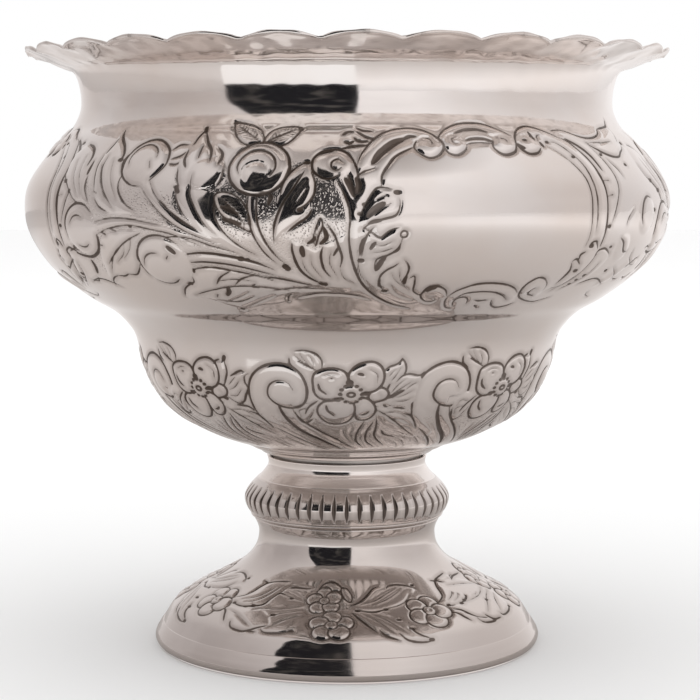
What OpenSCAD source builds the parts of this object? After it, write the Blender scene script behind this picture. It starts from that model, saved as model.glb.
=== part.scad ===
// Pedestal punch bowl in silver sheet: a raised bowl with a scalloped everted rim, soldered
// through a moulded collar and a fluted knop to a domed foot with an applied edge moulding.
// Frame: millimetres, +Z up, origin on the axis at the surface that the foot stands on.

/* [Bowl] */
// Radius of the belly at its widest
belly_r = 139.6; // [136:0.1:143]
// Height of the belly's widest point
belly_z = 192; // [189:0.5:195]
// Radius of the neck under the rim
neck_r = 115; // [112:0.5:118]
// Height of the narrowest point of the neck
neck_z = 237; // [235:0.5:239]
// Radius of the lower bowl where its wall is upright
waist_r = 90.7; // [88:0.1:93]
// Height of that upright wall
waist_z = 130; // [128:0.5:132]
// Thickness of the bowl's sheet
bowl_sheet = 1; // [0.8:0.1:1.4]

/* [Rim] */
// Radius of the rim to the tips of its lobes
rim_r = 138.5; // [136:0.5:142]
// Height of the rim's edge
rim_z = 256.8; // [255:0.1:259]
// Number of lobes round the rim
lobes = 28; // [16:1:32]
// Depth of the hollow between two lobes
lobe_depth = 1.8; // [1:0.1:2.5]
// Angle of one hollow from the front of the bowl
lobe_turn = -4; // [-6.5:0.5:6.5]

/* [Stem] */
// Radius of the stem at its narrowest, under the bowl
stem_r = 34.6; // [33:0.1:36]
// Height of the stem's narrowest point
stem_z = 80; // [79:0.5:81]
// Radius of the knop to the crests of its flutes
knop_r = 45.3; // [44:0.1:47]
// Height of the middle of the knop
knop_z = 64; // [63.5:0.5:64.5]
// Number of flutes round the knop
flutes = 52; // [40:1:60]
// Depth of a flute's groove
flute_depth = 1.4; // [0.8:0.1:1.8]
// Width of a flute's groove
flute_gap = 1.5; // [1:0.1:2]

/* [Foot] */
// Radius of the foot over its edge moulding
foot_r = 85.1; // [83:0.1:87]
// Radius of the foot's waist, between the knop and the dome
foot_waist_r = 39; // [38:0.1:40]
// Height of the edge moulding
foot_edge_h = 10; // [9:0.5:10.5]
// Thickness of the foot's sheet
foot_sheet = 1; // [0.8:0.1:1.4]

/* [Hidden] */
$fn = 128;

silver = [0.86, 0.84, 0.82];
solder_silver = [0.74, 0.73, 0.72];

// Underside of the bowl at the axis, and the ring where the collar's edge meets the bowl.
bowl_floor_z = 85.5;
collar_r = 46;
collar_z = 89.3;
collar_hole_r = 34;
// Ring under the bowl that the top of the stem is centred on.
seat_r = 32.9;
seat_w = 1.9;
seat_h = 6.3;
// Levels of the soldered seams, from the top of the stem down.
collar_seam_z = 85.2;
knop_top_z = knop_z + 8.5;
knop_bottom_z = knop_z - 6.5;
wire_bottom_z = knop_bottom_z - 2.2;
// The knop is a thick ring, because its flutes are cut into it.
knop_wall = 2.8;
flute_h = 12;
flute_mid_z = knop_z + 1.5;
flute_floor_r = 30; // radius of the arc along the bottom of a groove
flute_cut_w = 8;
lobe_cut_r = 18;
lobe_cut_h = 20;
// The moulding's flat back, and the flat wire inside it.
moulding_w = 5.6;
base_wire_w = 2.6;
base_wire_h = 3;
past = 1; // how far a cutter runs past what it cuts

// A curve through every point of p, with n steps between two points.
function between(a, b, c, d, t) = 0.5 * (2 * b + (c - a) * t
    + (2 * a - 5 * b + 4 * c - d) * t * t + (3 * b - a - 3 * c + d) * t * t * t);
function curve(p, n = 5) = [
    for (i = [0 : len(p) - 2], k = [0 : n - 1])
        between(p[max(i - 1, 0)], p[i], p[i + 1], p[min(i + 2, len(p) - 1)], k / n),
    p[len(p) - 1],
];
// The line p moved t to its left, never past the axis.
function left_of(p, t) = [
    for (i = [0 : len(p) - 1])
        let (along = p[min(i + 1, len(p) - 1)] - p[max(i - 1, 0)],
             q = p[i] + t * [-along[1], along[0]] / norm(along))
        i == 0 ? [p[0][0] == 0 ? 0 : q[0], q[1]] : q,
];
function backwards(p) = [for (i = [len(p) - 1 : -1 : 0]) p[i]];

// The bowl's outside, from the axis out and up to the edge of the rim.
bowl_line = curve([
    [0, bowl_floor_z],
    [18, bowl_floor_z + 0.2],
    [collar_hole_r, bowl_floor_z + 1.3],
    [collar_r, collar_z],
    [collar_r + 14, collar_z + 4.7],
    [waist_r - 16.5, waist_z - 28],
    [waist_r - 6.8, waist_z - 18],
    [waist_r - 1.1, waist_z - 6],
    [waist_r + 1.7, waist_z + 6],
    [waist_r + 5.2, waist_z + 12],
    [waist_r + 11.4, waist_z + 18],
    [belly_r - 27.2, belly_z - 38],
    [belly_r - 12, belly_z - 26],
    [belly_r - 2.5, belly_z - 12],
    [belly_r, belly_z],
    [belly_r - 2.6, belly_z + 12],
    [belly_r - 14.4, belly_z + 28],
    [neck_r + 4, neck_z - 11],
    [neck_r + 0.8, neck_z - 5],
    [neck_r, neck_z],
    [neck_r + 0.8, neck_z + 7],
    [neck_r + 3.2, neck_z + 13],
    [neck_r + 9, rim_z - 4.6],
    [rim_r - 7.5, rim_z - 1.8],
    [rim_r, rim_z],
]);

// The stem's outside from the collar down to the knop.
upper_stem_line = curve([
    [stem_r + 3.4, collar_seam_z],
    [stem_r + 0.8, stem_z + 2.6],
    [stem_r, stem_z],
    [stem_r + 0.4, stem_z - 2],
    [stem_r + 3.5, stem_z - 6],
    [stem_r + 5.2, knop_top_z],
]);
knop_line = curve([
    [stem_r + 5.2, knop_top_z],
    [knop_r - 3, knop_z + 6],
    [knop_r - 0.4, knop_z + 2.2],
    [knop_r, knop_z - 0.5],
    [knop_r - 1, knop_z - 4],
    [knop_r - 2.8, knop_bottom_z],
]);
foot_line = curve([
    [foot_waist_r + 2.2, wire_bottom_z],
    [foot_waist_r + 0.5, wire_bottom_z - 3.4],
    [foot_waist_r, foot_edge_h + 38],
    [foot_waist_r + 1.5, foot_edge_h + 32],
    [foot_waist_r + 6.5, foot_edge_h + 26],
    [foot_r - 30.3, foot_edge_h + 20],
    [foot_r - 18.8, foot_edge_h + 14],
    [foot_r - 9.3, foot_edge_h + 8],
    [foot_r - 6, foot_edge_h + 4],
    [foot_r - 3.7, foot_edge_h],
]);

// Sheet of one thickness behind an outside line, turned about the axis.
module spun(line, sheet) {
    rotate_extrude() polygon(concat(line, backwards(left_of(line, sheet))));
}

// Clears everything from z = low down, so that a seam is flat.
module below(low, r) {
    translate([0, 0, low - 4 * past]) cylinder(h = 4 * past, r = r);
}

module bowl_body() {
    color(silver) difference() {
        spun(bowl_line, bowl_sheet);
        for (i = [0 : lobes - 1])
            rotate([0, 0, lobe_turn - 90 + i * 360 / lobes])
                translate([rim_r - lobe_depth + lobe_cut_r, 0, rim_z - lobe_cut_h / 2])
                    cylinder(h = lobe_cut_h, r = lobe_cut_r);
    }
}

// Moulding that fills the angle between the stem's top and the bowl's underside.
module collar_ring() {
    under_bowl = [for (p = bowl_line) if (p[0] >= collar_hole_r && p[0] <= collar_r) p];
    color(silver) rotate_extrude() polygon(concat(
        under_bowl,
        [
            [collar_r - 0.6, collar_z - 1],
            [collar_r - 3.6, collar_z - 1.8],
            [collar_r - 4.2, collar_z - 2.6],
            [collar_r - 6.8, collar_z - 3.4],
            [stem_r + 3.4, collar_seam_z],
            [collar_hole_r, collar_seam_z],
        ]
    ));
}

// Locating ring soldered under the bowl, inside the stem.
module seat_ring() {
    color(solder_silver) translate([0, 0, bowl_floor_z - 0.2 - seat_h]) difference() {
        cylinder(h = seat_h, r = seat_r);
        translate([0, 0, -past]) cylinder(h = seat_h + 2 * past, r = seat_r - seat_w);
    }
}

module upper_stem() {
    color(silver) difference() {
        spun(backwards(upper_stem_line), foot_sheet);
        below(knop_top_z, knop_r);
        translate([0, 0, collar_seam_z]) cylinder(h = 4 * past, r = knop_r);
    }
}

module flute_groove() {
    translate([0, -flute_gap / 2, 0]) rotate([-90, 0, 0]) difference() {
        translate([flute_floor_r - flute_cut_w / 2, -flute_h / 2, 0])
            cube([flute_cut_w, flute_h, flute_gap]);
        translate([0, 0, -past]) cylinder(h = flute_gap + 2 * past, r = flute_floor_r);
    }
}

module fluted_knop() {
    color(silver) difference() {
        spun(backwards(knop_line), knop_wall);
        below(knop_bottom_z, knop_r);
        translate([0, 0, knop_top_z]) cylinder(h = 4 * past, r = knop_r);
        for (i = [0 : flutes - 1])
            rotate([0, 0, i * 360 / flutes])
                translate([knop_r - flute_depth - flute_floor_r, 0, flute_mid_z])
                    flute_groove();
    }
}

// Wire that covers the seam between the knop and the foot.
module knop_wire() {
    color(silver) rotate_extrude() polygon(concat(
        [[foot_waist_r + 0.6, wire_bottom_z], [foot_waist_r + 2.2, wire_bottom_z]],
        curve([
            [foot_waist_r + 2.5, wire_bottom_z + 0.2],
            [foot_waist_r + 3.8, wire_bottom_z + 1.2],
            [knop_r - 2.6, knop_bottom_z - 0.2],
        ]),
        [[knop_r - 2.8, knop_bottom_z], [foot_waist_r + 0.6, knop_bottom_z]]
    ));
}

module foot_dome() {
    color(silver) difference() {
        spun(backwards(foot_line), foot_sheet);
        below(foot_edge_h, foot_r);
        translate([0, 0, wire_bottom_z]) cylinder(h = 4 * past, r = foot_r);
    }
}

// Applied edge moulding: an upper and a lower swelling with a fillet between them.
module foot_edge_moulding() {
    color(silver) rotate_extrude() polygon(concat(
        [[foot_r - moulding_w, 0], [foot_r - 1.4, 0]],
        curve([
            [foot_r - 0.9, 0.3],
            [foot_r - 0.1, 2],
            [foot_r, 3.6],
            [foot_r - 0.5, 5.4],
        ]),
        [[foot_r - 1.4, 5.9]],
        curve([
            [foot_r - 1.4, 6.3],
            [foot_r - 1.7, 7.8],
            [foot_r - 2.5, foot_edge_h - 0.8],
            [foot_r - 3.5, foot_edge_h],
        ]),
        [[foot_r - moulding_w, foot_edge_h]]
    ));
}

// Flat wire inside the moulding, level with its underside, that the foot also stands on.
module foot_base_wire() {
    color(solder_silver) difference() {
        cylinder(h = base_wire_h, r = foot_r - moulding_w);
        translate([0, 0, -past])
            cylinder(h = base_wire_h + 2 * past, r = foot_r - moulding_w - base_wire_w);
    }
}

bowl_body();
collar_ring();
seat_ring();
upper_stem();
fluted_knop();
knop_wire();
foot_dome();
foot_edge_moulding();
foot_base_wire();
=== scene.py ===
import math

import bpy
import numpy as np
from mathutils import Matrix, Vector


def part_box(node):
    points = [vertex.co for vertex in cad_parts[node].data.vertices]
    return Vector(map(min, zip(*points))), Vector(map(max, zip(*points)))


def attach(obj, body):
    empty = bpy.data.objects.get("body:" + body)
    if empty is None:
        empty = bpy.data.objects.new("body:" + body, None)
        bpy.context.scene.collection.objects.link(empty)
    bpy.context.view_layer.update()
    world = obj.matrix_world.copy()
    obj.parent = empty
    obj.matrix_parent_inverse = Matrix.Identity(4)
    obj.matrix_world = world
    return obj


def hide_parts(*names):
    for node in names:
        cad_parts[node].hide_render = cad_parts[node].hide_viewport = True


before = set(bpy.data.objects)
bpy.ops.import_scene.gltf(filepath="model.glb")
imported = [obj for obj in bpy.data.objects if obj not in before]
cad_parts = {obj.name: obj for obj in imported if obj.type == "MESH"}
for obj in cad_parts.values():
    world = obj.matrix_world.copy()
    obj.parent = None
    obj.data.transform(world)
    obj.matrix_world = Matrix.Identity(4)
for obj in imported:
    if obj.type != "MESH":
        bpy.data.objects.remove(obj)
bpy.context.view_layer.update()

MM = 0.001  # one millimetre, in Blender's metres

# The chased strips, in mm
CELL = 0.3  # size of a cell
NO_INK = 2.0  # how far outside a line its distance stops counting
SHOULDER = 1.3  # how far the metal sinks beside a line
LINE_DEEP, VEIN_DEEP, DOT_DEEP = 0.45, 0.2, 0.5
DOT_WIDE = 0.85  # share of its drawn width that a punched mark keeps
MAT_FADE = 5  # how far in from its edge the punched ground is at its full depth
INSIDE_BLUR = 3  # cells each way that the relief is softened over, twice, on the inside
BELLY_STRIP = (132, -64, 52, 0.65)  # radius it is laid out at, lowest and highest y, share of relief kept
BAND_STRIP = (82, -44, 44, 0.55)
FOOT_STRIP = (64, -36, 40, 0.75)
BELLY_ZERO, BAND_ZERO, FOOT_ZERO = 192, 110, 28  # the height on the wall where a strip's y is 0
UNIT_PLACES = ((-239, False), (0, True), (277, True))  # where a shield is, and if leaves fill its right
BAND_REPEATS, BAND_SEED = 8, 7
FOOT_REPEATS = 4

# The sheet and its edges, in mm
SHEET = 1.0
RIM_R, RIM_Z = 138.5, 256.8
RIM_EDGE = 0.65  # radius of the rim's rounded edge
LOBES = 28
LOBE_TURN = math.radians(-4)  # the angle of one hollow from the front
LOBE_START_R = 124  # the radius where the rim's wave begins
LOBE_RISE, LOBE_DROP, LOBE_DEPTH = 1.8, 0.9, 1.8  # up on a crest, down and in at a hollow
NECK_Z, FLANGE_Z = 240, 250  # the rim's wave is above the one, the flange's stains above the other
FLANGE_R = 114
BAND_LOW_Z = 89  # where the lower chased wall begins, round the flat bottom
BAND_TOP = 142  # height of the join between the two chased walls
BELLY_TOP = 233
BOTTOM_RADII = (1.5, 6, 12, 18, 24, 30, 36, 41)  # the rings of the flat bottom
BOTTOM_R, BOTTOM_Z = 44, 100  # the inside's wall ends within these
RIPPLE = 0.04  # the unevenness that a hammer leaves
RIM_RIPPLE = 0.16  # and that it leaves on the rim
WALL_SEED, RIM_SEED, STAIN_SEED = 4, 9, 12
RIPPLE_WAVES = 14

# The knop, in mm
FLUTES = 52
FLUTE_MIDDLE, FLUTE_TALL, FLUTE_GAP, FLUTE_DEEP = 7.3, 11.8, 1.9, 1.0
FLUTE_EASE = 1.2  # how far from the middle of a groove a rib begins to round over
KNOP_WALL = 2.8
KNOP_INSIDE_R = 40.5  # smaller radii are the knop's top and inside, which have no flutes

# How finely the pieces are meshed: points round a ring, and mm between rings
BELLY_POINTS, BAND_POINTS, PLAIN_POINTS, BOTTOM_POINTS = 1500, 1000, 500, 125
FOOT_POINTS, FOOT_INSIDE_POINTS = 800, 400
SPUN_POINTS, EDGE_POINTS, FLUTE_POINTS = 256, 384, 16
BOWL_ROW, FOOT_ROW, STEM_ROW, KNOP_ROW = 0.55, 0.5, 0.8, 0.45
SHELF_GAP, ISLAND_GAP = 0.02, 0.003  # what is left free at the edges of an island in the UV map

# What tells a CAD section's outer line from the rest of it, in mm
SEAM_R = 40  # the level faces outside this radius are cut seams
STRAIGHT_DOWN = -0.999
LOBE_CUT_TALL, LOBE_CUT_WIDE = 3, 4  # the corner of the section that the lobes are cut in

# The silver's colours and the sizes of its textures
BRIGHT = (0.88, 0.84, 0.82)
STEM_BRIGHT = (0.90, 0.86, 0.84)
# painted shade: a darker silver for the seat ring and the foot's base wire, which sit in shadow
SHADED = (0.62, 0.59, 0.57)
WARMER = (0.945, 0.90, 0.865)  # what the soft clouds of wear multiply the colour by
PATINA = (0.105, 0.08, 0.066)  # the dark in the chased lines
GRIME = (0.22, 0.18, 0.155)  # the brown beside the lines and in the punched ground
LOW_SHADE = (0.60, 0.55, 0.525)  # painted shade: the darker colour the silver takes towards the foot, where it mirrors the table shadowed by the bowl
LOW_SHADE_TOP, LOW_SHADE_FOOT = 0.245, 0.02  # heights where the painted shade is none and all, in metres
CLOUD_SCALE, FINE_SCALE, HAIR_SCALE, PUNCH_SCALE = 22, 260, 420, 1100

# The studio's colours. All but the floor's are only seen in the silver
# painted shadow: the floor is greyer round the foot and eases to white further out
FLOOR_SHADOW = (0.86, 0.86, 0.86)
FLOOR_FAR = (0.97, 0.97, 0.97)
WHITE = (1, 1, 1)
TENT_LEFT = (0.50, 0.465, 0.455)
TENT_MIDDLE = (0.97, 0.935, 0.925)
TENT_RIGHT = (0.70, 0.665, 0.655)
TENT_TOP = (0.30, 0.275, 0.265)
TENT_FOLD = (0.80, 0.765, 0.755)
TENT_AGAIN = (1, 0.98, 0.97)  # the tent, table and dark side where silver is seen in silver; the table's is a painted shadow near the bowl
TABLE_SHADOW_AGAIN = (0.22, 0.19, 0.18)
DARK_AGAIN = (0.28, 0.27, 0.26)
# painted shadow: the table greyer near the bowl; painted shade: the table greyer off to the left, away from
# the light
TABLE_SHADOW = (0.57, 0.54, 0.525)
TABLE_FAR = (0.85, 0.82, 0.81)
TABLE_SHADE_LEFT = (0.50, 0.47, 0.46)
WHITE_CARD = (0.84, 0.83, 0.825)
DARK_COLOUR = (0.012, 0.012, 0.014)
DARK_FOLD = (0.07, 0.065, 0.06)

# The studio's sizes, in metres, and the angles that the dark side spans
FLOOR_HALF = 6.0
TABLE_Z, CARD_Z = 0.001, 0.002
CARD_START, TABLE_EDGE, DARK_R, DARK_TOP = 0.36, 1.4, 1.7, 3.0
DARK_TURN = (-50, 4)
CAMERA_PLACE = (0.0014, -0.88, 0.2085)
CAMERA_PITCH = math.radians(90 - 5.17)
CAMERA_LENS = 102.86


def smooth(points, closed=False, steps=6):
    """A Catmull-Rom curve through every point."""
    p = np.asarray(points, float)
    n = len(p)
    if n < 3:
        return p
    ends = [p[-1:], p[:2]] if closed else [2 * p[:1] - p[1:2], 2 * p[-1:] - p[-2:-1]]
    q = np.concatenate([ends[0], p, ends[1]])
    spans = n if closed else n - 1
    t = (np.arange(steps) / steps)[None, :, None]
    a, b, c, d = (q[k : k + spans, None, :] for k in range(4))
    bend = (2 * a - 5 * b + 4 * c - d) * t**2 + (3 * b - a - 3 * c + d) * t**3
    curve = (0.5 * (2 * b + (c - a) * t + bend)).reshape(-1, p.shape[1])
    return curve if closed else np.concatenate([curve, p[-1:]])


def arc(x, y, r, start, stop, squash=1.0):
    """Points along an arc from one angle to another, in degrees, about one in 30."""
    a = np.radians(np.linspace(start, stop, max(4, round(abs(stop - start) / 30) + 1)))
    return np.stack([x + r * np.cos(a), y + r * squash * np.sin(a)], -1)


def circle(x, y, r, squash=1.0):
    """The points of a circle that smooth() closes."""
    return arc(x, y, r, 0, 330, squash)


def run_along(curve):
    """How far along a curve each of its points is, in mm."""
    return np.concatenate([[0], np.cumsum(np.hypot(*np.diff(curve, axis=0).T))])


def swelling(curve, ends):
    """How wide a stroke is along a curve: a share of its width at its ends, all of it halfway."""
    run = run_along(curve)
    return ends + (1 - ends) * np.abs(np.sin(math.pi * run / run[-1])) ** 0.5


def to_segment(X, Y, p, q):
    """How far each place is from a segment, and how far along it the nearest point lies."""
    dx, dy = q - p
    f = np.clip(((X - p[0]) * dx + (Y - p[1]) * dy) / max(dx * dx + dy * dy, 1e-9), 0, 1)
    return np.hypot(X - p[0] - f * dx, Y - p[1] - f * dy), f


def inside_of(X, Y, outline):
    """Which places lie inside a closed outline, and how far every place is from it."""
    inside = np.zeros(X.shape, bool)
    away = np.full(X.shape, 1e3)
    for a, b in zip(outline, np.roll(outline, -1, axis=0)):
        away = np.minimum(away, to_segment(X, Y, a, b)[0])
        if a[1] != b[1]:
            crossed = X < a[0] + (Y - a[1]) / (b[1] - a[1]) * (b[0] - a[0])
            inside ^= ((a[1] > Y) != (b[1] > Y)) & crossed
    return inside, away


def blurred(layer, cells):
    """A layer averaged over its neighbours, a few cells each way."""
    for axis in (0, 1):
        layer = sum(np.roll(layer, k, axis) for k in range(-cells, cells + 1)) / (2 * cells + 1)
    return layer


class Strip:
    """A band of a wall laid out flat, in mm. x runs round the wall and wraps, y runs up it.

    raised is the work pushed out from inside, cut the depth of the chased lines, ink how far
    inside the dark floor of a line a place is, and matted 1 where the ground is punched.
    """

    def __init__(self, radius, low, high, height):
        self.radius, self.low, self.height = radius, low, height
        self.nx = round(2 * math.pi * radius / CELL)
        self.ny = round((high - low) / CELL) + 1
        self.step = 2 * math.pi * radius / self.nx
        shape = (self.ny, self.nx)
        self.raised = np.zeros(shape)
        self.cut = np.zeros(shape)
        self.ink = np.full(shape, -NO_INK)
        self.matted = np.zeros(shape)
        self.shift = 0.0

    def placed(self, points):
        """Points moved to the repeat that is being drawn."""
        return np.asarray(points, float) + (self.shift, 0)

    def cells(self, points, margin):
        """The cells round some points, and the places of those cells."""
        (x0, y0), (x1, y1) = points.min(0) - margin, points.max(0) + margin
        cols = np.arange(math.floor(x0 / self.step), math.ceil(x1 / self.step) + 1)
        row0 = max(0, math.floor((y0 - self.low) / CELL))
        rows = np.arange(row0, min(self.ny - 1, math.ceil((y1 - self.low) / CELL)) + 1)
        X, Y = np.meshgrid(cols * self.step, self.low + rows * CELL)
        return np.ix_(rows, cols % self.nx), X, Y

    def along(self, p, width, ends, margin):
        """For each segment of a curve, its cells, their distance and the stroke's share of its width."""
        swell = swelling(p, ends)
        for k in range(len(p) - 1):
            here, X, Y = self.cells(p[k : k + 2], width / 2 + margin)
            d, f = to_segment(X, Y, p[k], p[k + 1])
            yield here, d, swell[k] + (swell[k + 1] - swell[k]) * f

    def stroke(self, p, width, deep, ends):
        """A groove along a curve, with a dark floor and a shoulder that sinks towards it."""
        for here, d, size in self.along(p, width, ends, SHOULDER):
            half = size * width / 2
            groove = deep * size * np.clip(1 - d / (half + SHOULDER), 0, 1) ** 2
            self.cut[here] = np.maximum(self.cut[here], groove)
            self.ink[here] = np.maximum(self.ink[here], half - d)

    def line(self, points, width=1.0, deep=LINE_DEEP):
        """A chased line that swells from its ends to its middle."""
        self.stroke(self.placed(smooth(points)), width, deep, 0.3)

    def lines(self, width, *paths):
        """Chased lines of one width."""
        for points in paths:
            self.line(points, width)

    def ring(self, x, y, r, width=1.0, squash=1.0):
        """A chased line all the way round."""
        self.stroke(self.placed(smooth(arc(x, y, r, 0, 360, squash))), width, LINE_DEEP, 1)

    def dot(self, x, y, width=2.2, length=0.8, angle=0):
        """A punched mark, drawn out to a length at an angle."""
        dx = length / 2 * math.cos(math.radians(angle))
        dy = length / 2 * math.sin(math.radians(angle))
        self.stroke(self.placed([(x - dx, y - dy), (x + dx, y + dy)]), DOT_WIDE * width, DOT_DEEP, 1)

    def dots(self, width, *places):
        """Punched marks of one width."""
        for x, y in places:
            self.dot(x, y, width)

    def dome(self, outline, high, edge=3.0, rim=0.0, base=0.0, curved=True):
        """A raised pillow over whatever is there, with a chased line of width rim round it."""
        p = self.placed(smooth(outline, closed=True, steps=4) if curved else outline)
        here, X, Y = self.cells(p, CELL)
        inside, away = inside_of(X, Y, p)
        swell = (1 - (1 - np.clip(away / edge, 0, 1)) ** 2) ** 0.8
        self.raised[here] = np.where(inside, base + high * swell, self.raised[here])
        self.cut[here] = np.where(inside, 0, self.cut[here])
        self.ink[here] = np.where(inside, -NO_INK, self.ink[here])
        self.matted[here] = np.where(inside, 0, self.matted[here])
        if rim:
            self.stroke(np.concatenate([p, p[:1]]), rim, LINE_DEEP, 1)

    def mat(self, outline, deep=0.3):
        """Ground that is sunk a little and punched all over."""
        p = self.placed(outline)
        here, X, Y = self.cells(p, CELL)
        inside, away = inside_of(X, Y, p)
        fade = np.where(inside, np.clip(away / MAT_FADE, 0, 1), 0)
        self.matted[here] = np.maximum(self.matted[here], fade)
        self.raised[here] = np.minimum(self.raised[here], -deep * fade)

    def cord(self, points, width, high):
        """A raised cord along a curve."""
        for here, d, size in self.along(self.placed(smooth(points)), width, 0.4, 0):
            bulge = np.clip(1 - (2 * d / (size * width)) ** 2, 0, 1) ** 0.7
            self.raised[here] = np.maximum(self.raised[here], high * size * bulge)
            self.matted[here] = np.where(bulge > 0, 0, self.matted[here])

    def leaf(self, base, tip, width, bend=0.0, veins=4, high=0.9, rim=0.9):
        """A leaf from base to tip, with its midrib bowed sideways by bend."""
        base, along = np.array(base, float), np.subtract(tip, base)
        size = np.hypot(*along)
        side = np.array([-along[1], along[0]]) / size
        t = np.linspace(0, 1, 25)[:, None]
        rib = base + along * t + side * bend * 4 * t * (1 - t)
        half = width / 2 * np.sin(math.pi * t**0.8) ** 0.8
        turn = np.gradient(rib, axis=0)
        out = np.stack([-turn[:, 1], turn[:, 0]], -1) / np.hypot(*turn.T)[:, None]
        outline = np.concatenate([rib + out * half, (rib - out * half)[-2:0:-1]])
        self.dome(outline, high, width * 0.3, rim, curved=False)
        self.line(rib[:-3:4], rim * 0.9)
        ahead = along * width * 0.3 / size
        for k in np.linspace(3, 19, 2 * veins).astype(int):
            for reach in (out[k] * half[k], -out[k] * half[k]):
                vein = [rib[k], rib[k] + reach * 0.4 + ahead * 0.5, rib[k] + reach * 0.75 + ahead]
                self.line(vein, rim * 0.5, VEIN_DEEP)

    def finish(self):
        """Eases the raised work and works out what shows of it inside the bowl."""
        self.raised = blurred(self.raised, 1) * self.height
        self.inside = blurred(blurred(self.raised - self.cut, INSIDE_BLUR), INSIDE_BLUR)
        return self

    def read(self, layer, angle, y):
        """A layer's value at places round the wall, given in radians and in mm up it."""
        fx = angle * self.radius / self.step % self.nx
        fy = np.clip((y - self.low) / CELL, 0, self.ny - 1.001)
        i, j = fx.astype(int), fy.astype(int)
        u, v = fx - i, fy - j
        i, k = i % self.nx, (i + 1) % self.nx
        lower = layer[j, i] * (1 - u) + layer[j, k] * u
        upper = layer[j + 1, i] * (1 - u) + layer[j + 1, k] * u
        return lower * (1 - v) + upper * v


def cartouche(s):
    """The plain shield's frame: scrolls along its top and foot and a bar down its right side."""
    # Scrolls along the top, from left to right
    s.cord([(5, 17), (8, 24), (14, 31), (22, 35), (31, 33.5), (37, 29)], 7, 0.9)
    s.cord([(38, 29), (42, 34.5), (50, 38), (60, 37.5), (69, 32.5)], 6.5, 0.9)
    s.cord([(72, 30), (76, 35.5), (84, 37), (92, 33), (100, 24), (105, 12), (106, 0), (105, -14)], 7, 0.9)
    for x, y, r in ((32.5, 28.5, 5), (43.5, 30, 4.5), (65.5, 29.5, 5), (77.5, 29.5, 5)):
        s.dome(circle(x, y, r), 1.0, r * 0.8)
    s.lines(
        1.3,
        [(4, 19.5), (6, 25), (11, 32), (17, 36), (25, 38), (31, 37), (35, 34.5), (38, 31), (38.5, 28),
         (36, 24.5), (32, 23), (28.5, 25), (26.5, 28), (28, 31.5)],
        [(12.5, 10.5), (13, 15), (15.5, 19.5), (19, 24), (24, 27), (26, 28)],
        [(37, 31), (38, 34), (42, 38), (48, 40.5), (55, 41), (60, 40.5), (66, 37.5), (70.5, 34)],
        [(38.5, 29), (40, 25.5), (43.5, 24.5), (47, 26.5), (48.5, 29)],
        [(61, 31.5), (60, 28.5), (62, 25.5), (65, 24.5), (69, 26), (71, 29), (71.5, 32)],
        [(71.5, 30), (72, 33), (75, 37), (80, 39.5), (85, 39), (91, 36), (97, 32.5)],
        [(71.5, 30), (73, 27), (76, 25), (80, 25.5), (83, 28)],
        [(97, 33.5), (101, 31), (105, 26), (108, 20), (109, 12), (109, 0), (109, -10), (108.5, -16)],
    )
    s.lines(
        0.8, [(31, 32), (33, 32), (34, 30), (33.5, 29)], [(5, 13.5), (4.5, 15), (7, 17), (11, 18.5)],
        [(4.2, 20), (3.8, 12.5)], [(45, 33), (42.5, 32), (43, 30), (45, 29.5)],
        [(64, 32.5), (66.5, 32), (67, 30.5)], [(83.5, 31), (84, 34), (86, 34.5)],
        [(48, 29.5), (52, 30.5), (58, 30.5), (61, 30)],
        [(86, 30), (90, 27), (95, 22), (99, 15), (100, 8), (100, 0), (100, -10), (99.5, -14)],
        [(88, 31), (92, 30.5), (97, 26), (101, 20), (102.5, 12), (103, 3), (103, -8)],
        [(113, 30), (117, 23), (119, 16), (118.5, 10), (116, 4), (112, -5)],
        [(120, 23), (124, 18), (125, 14)],
    )
    s.line([(9.5, 20), (13, 25), (18, 29.5), (23, 32)], 3.4)
    s.lines(
        1.7, [(22, 31.5), (25, 33), (28, 33)], [(44, 34.5), (49, 36.5), (55, 37), (60, 35.5)],
        [(48.5, 31.5), (52, 32.5), (57, 32.5), (61, 31)], [(80, 36), (81, 34), (82, 32)],
        [(84, 31), (84.5, 29.5), (85, 28.5)], [(72, 30), (73, 28.5), (74.5, 27.5)],
        [(100, 33), (106, 29), (110, 24), (112, 17)], [(109, 12.5), (113, 12.5)], [(109, 6), (113, 6.5)],
    )
    s.dots(1.8, (76, 31.5), (111, -6), (118, 25), (98, 23.5), (88, 31))
    # Scrolls along the foot, from left to right
    s.cord([(31, -36), (34, -34.5), (38, -34.5), (42, -38)], 5, 0.8)
    s.cord([(45.5, -40), (50, -34.5), (60, -33.5), (70, -36), (77, -42)], 6, 0.8)
    s.cord([(80, -38), (83, -32), (88, -34), (88, -40)], 6, 0.8)
    s.lines(
        1.1,
        [(43, -39), (41, -34.5), (37, -32), (33, -33), (31.5, -36), (31.5, -39), (34, -42), (37, -42.5),
         (38.5, -41), (38, -40)],
        [(43.5, -39), (47, -34.5), (53, -31.5), (60, -31), (67, -32), (73, -34.5), (77, -38)],
        [(48, -40), (51, -37.5), (57, -36.5), (64, -37), (70, -39.5), (74.5, -43)],
        [(43.5, -39), (43.5, -43), (45.5, -47), (49, -48)],
        [(48.5, -46.5), (47.5, -43), (49, -40.5), (52, -40), (54, -42), (54.5, -45)],
        [(66, -42), (68, -46), (72, -48.5), (77, -47.5), (80, -45)], [(57, -42), (60, -43), (64, -42.5)],
        [(59, -46), (61, -47.5), (62, -48.5)],
        [(100, -42), (93, -45), (86, -44), (80, -41), (78, -37), (78.5, -32.5), (82, -29), (86, -29.5),
         (89.5, -33), (90, -37)], [(85, -35), (83.5, -37), (84, -39.5), (88, -40.5)],
    )
    s.line([(33, -35), (34.5, -33.2), (36.5, -32.6)], 2)


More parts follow.
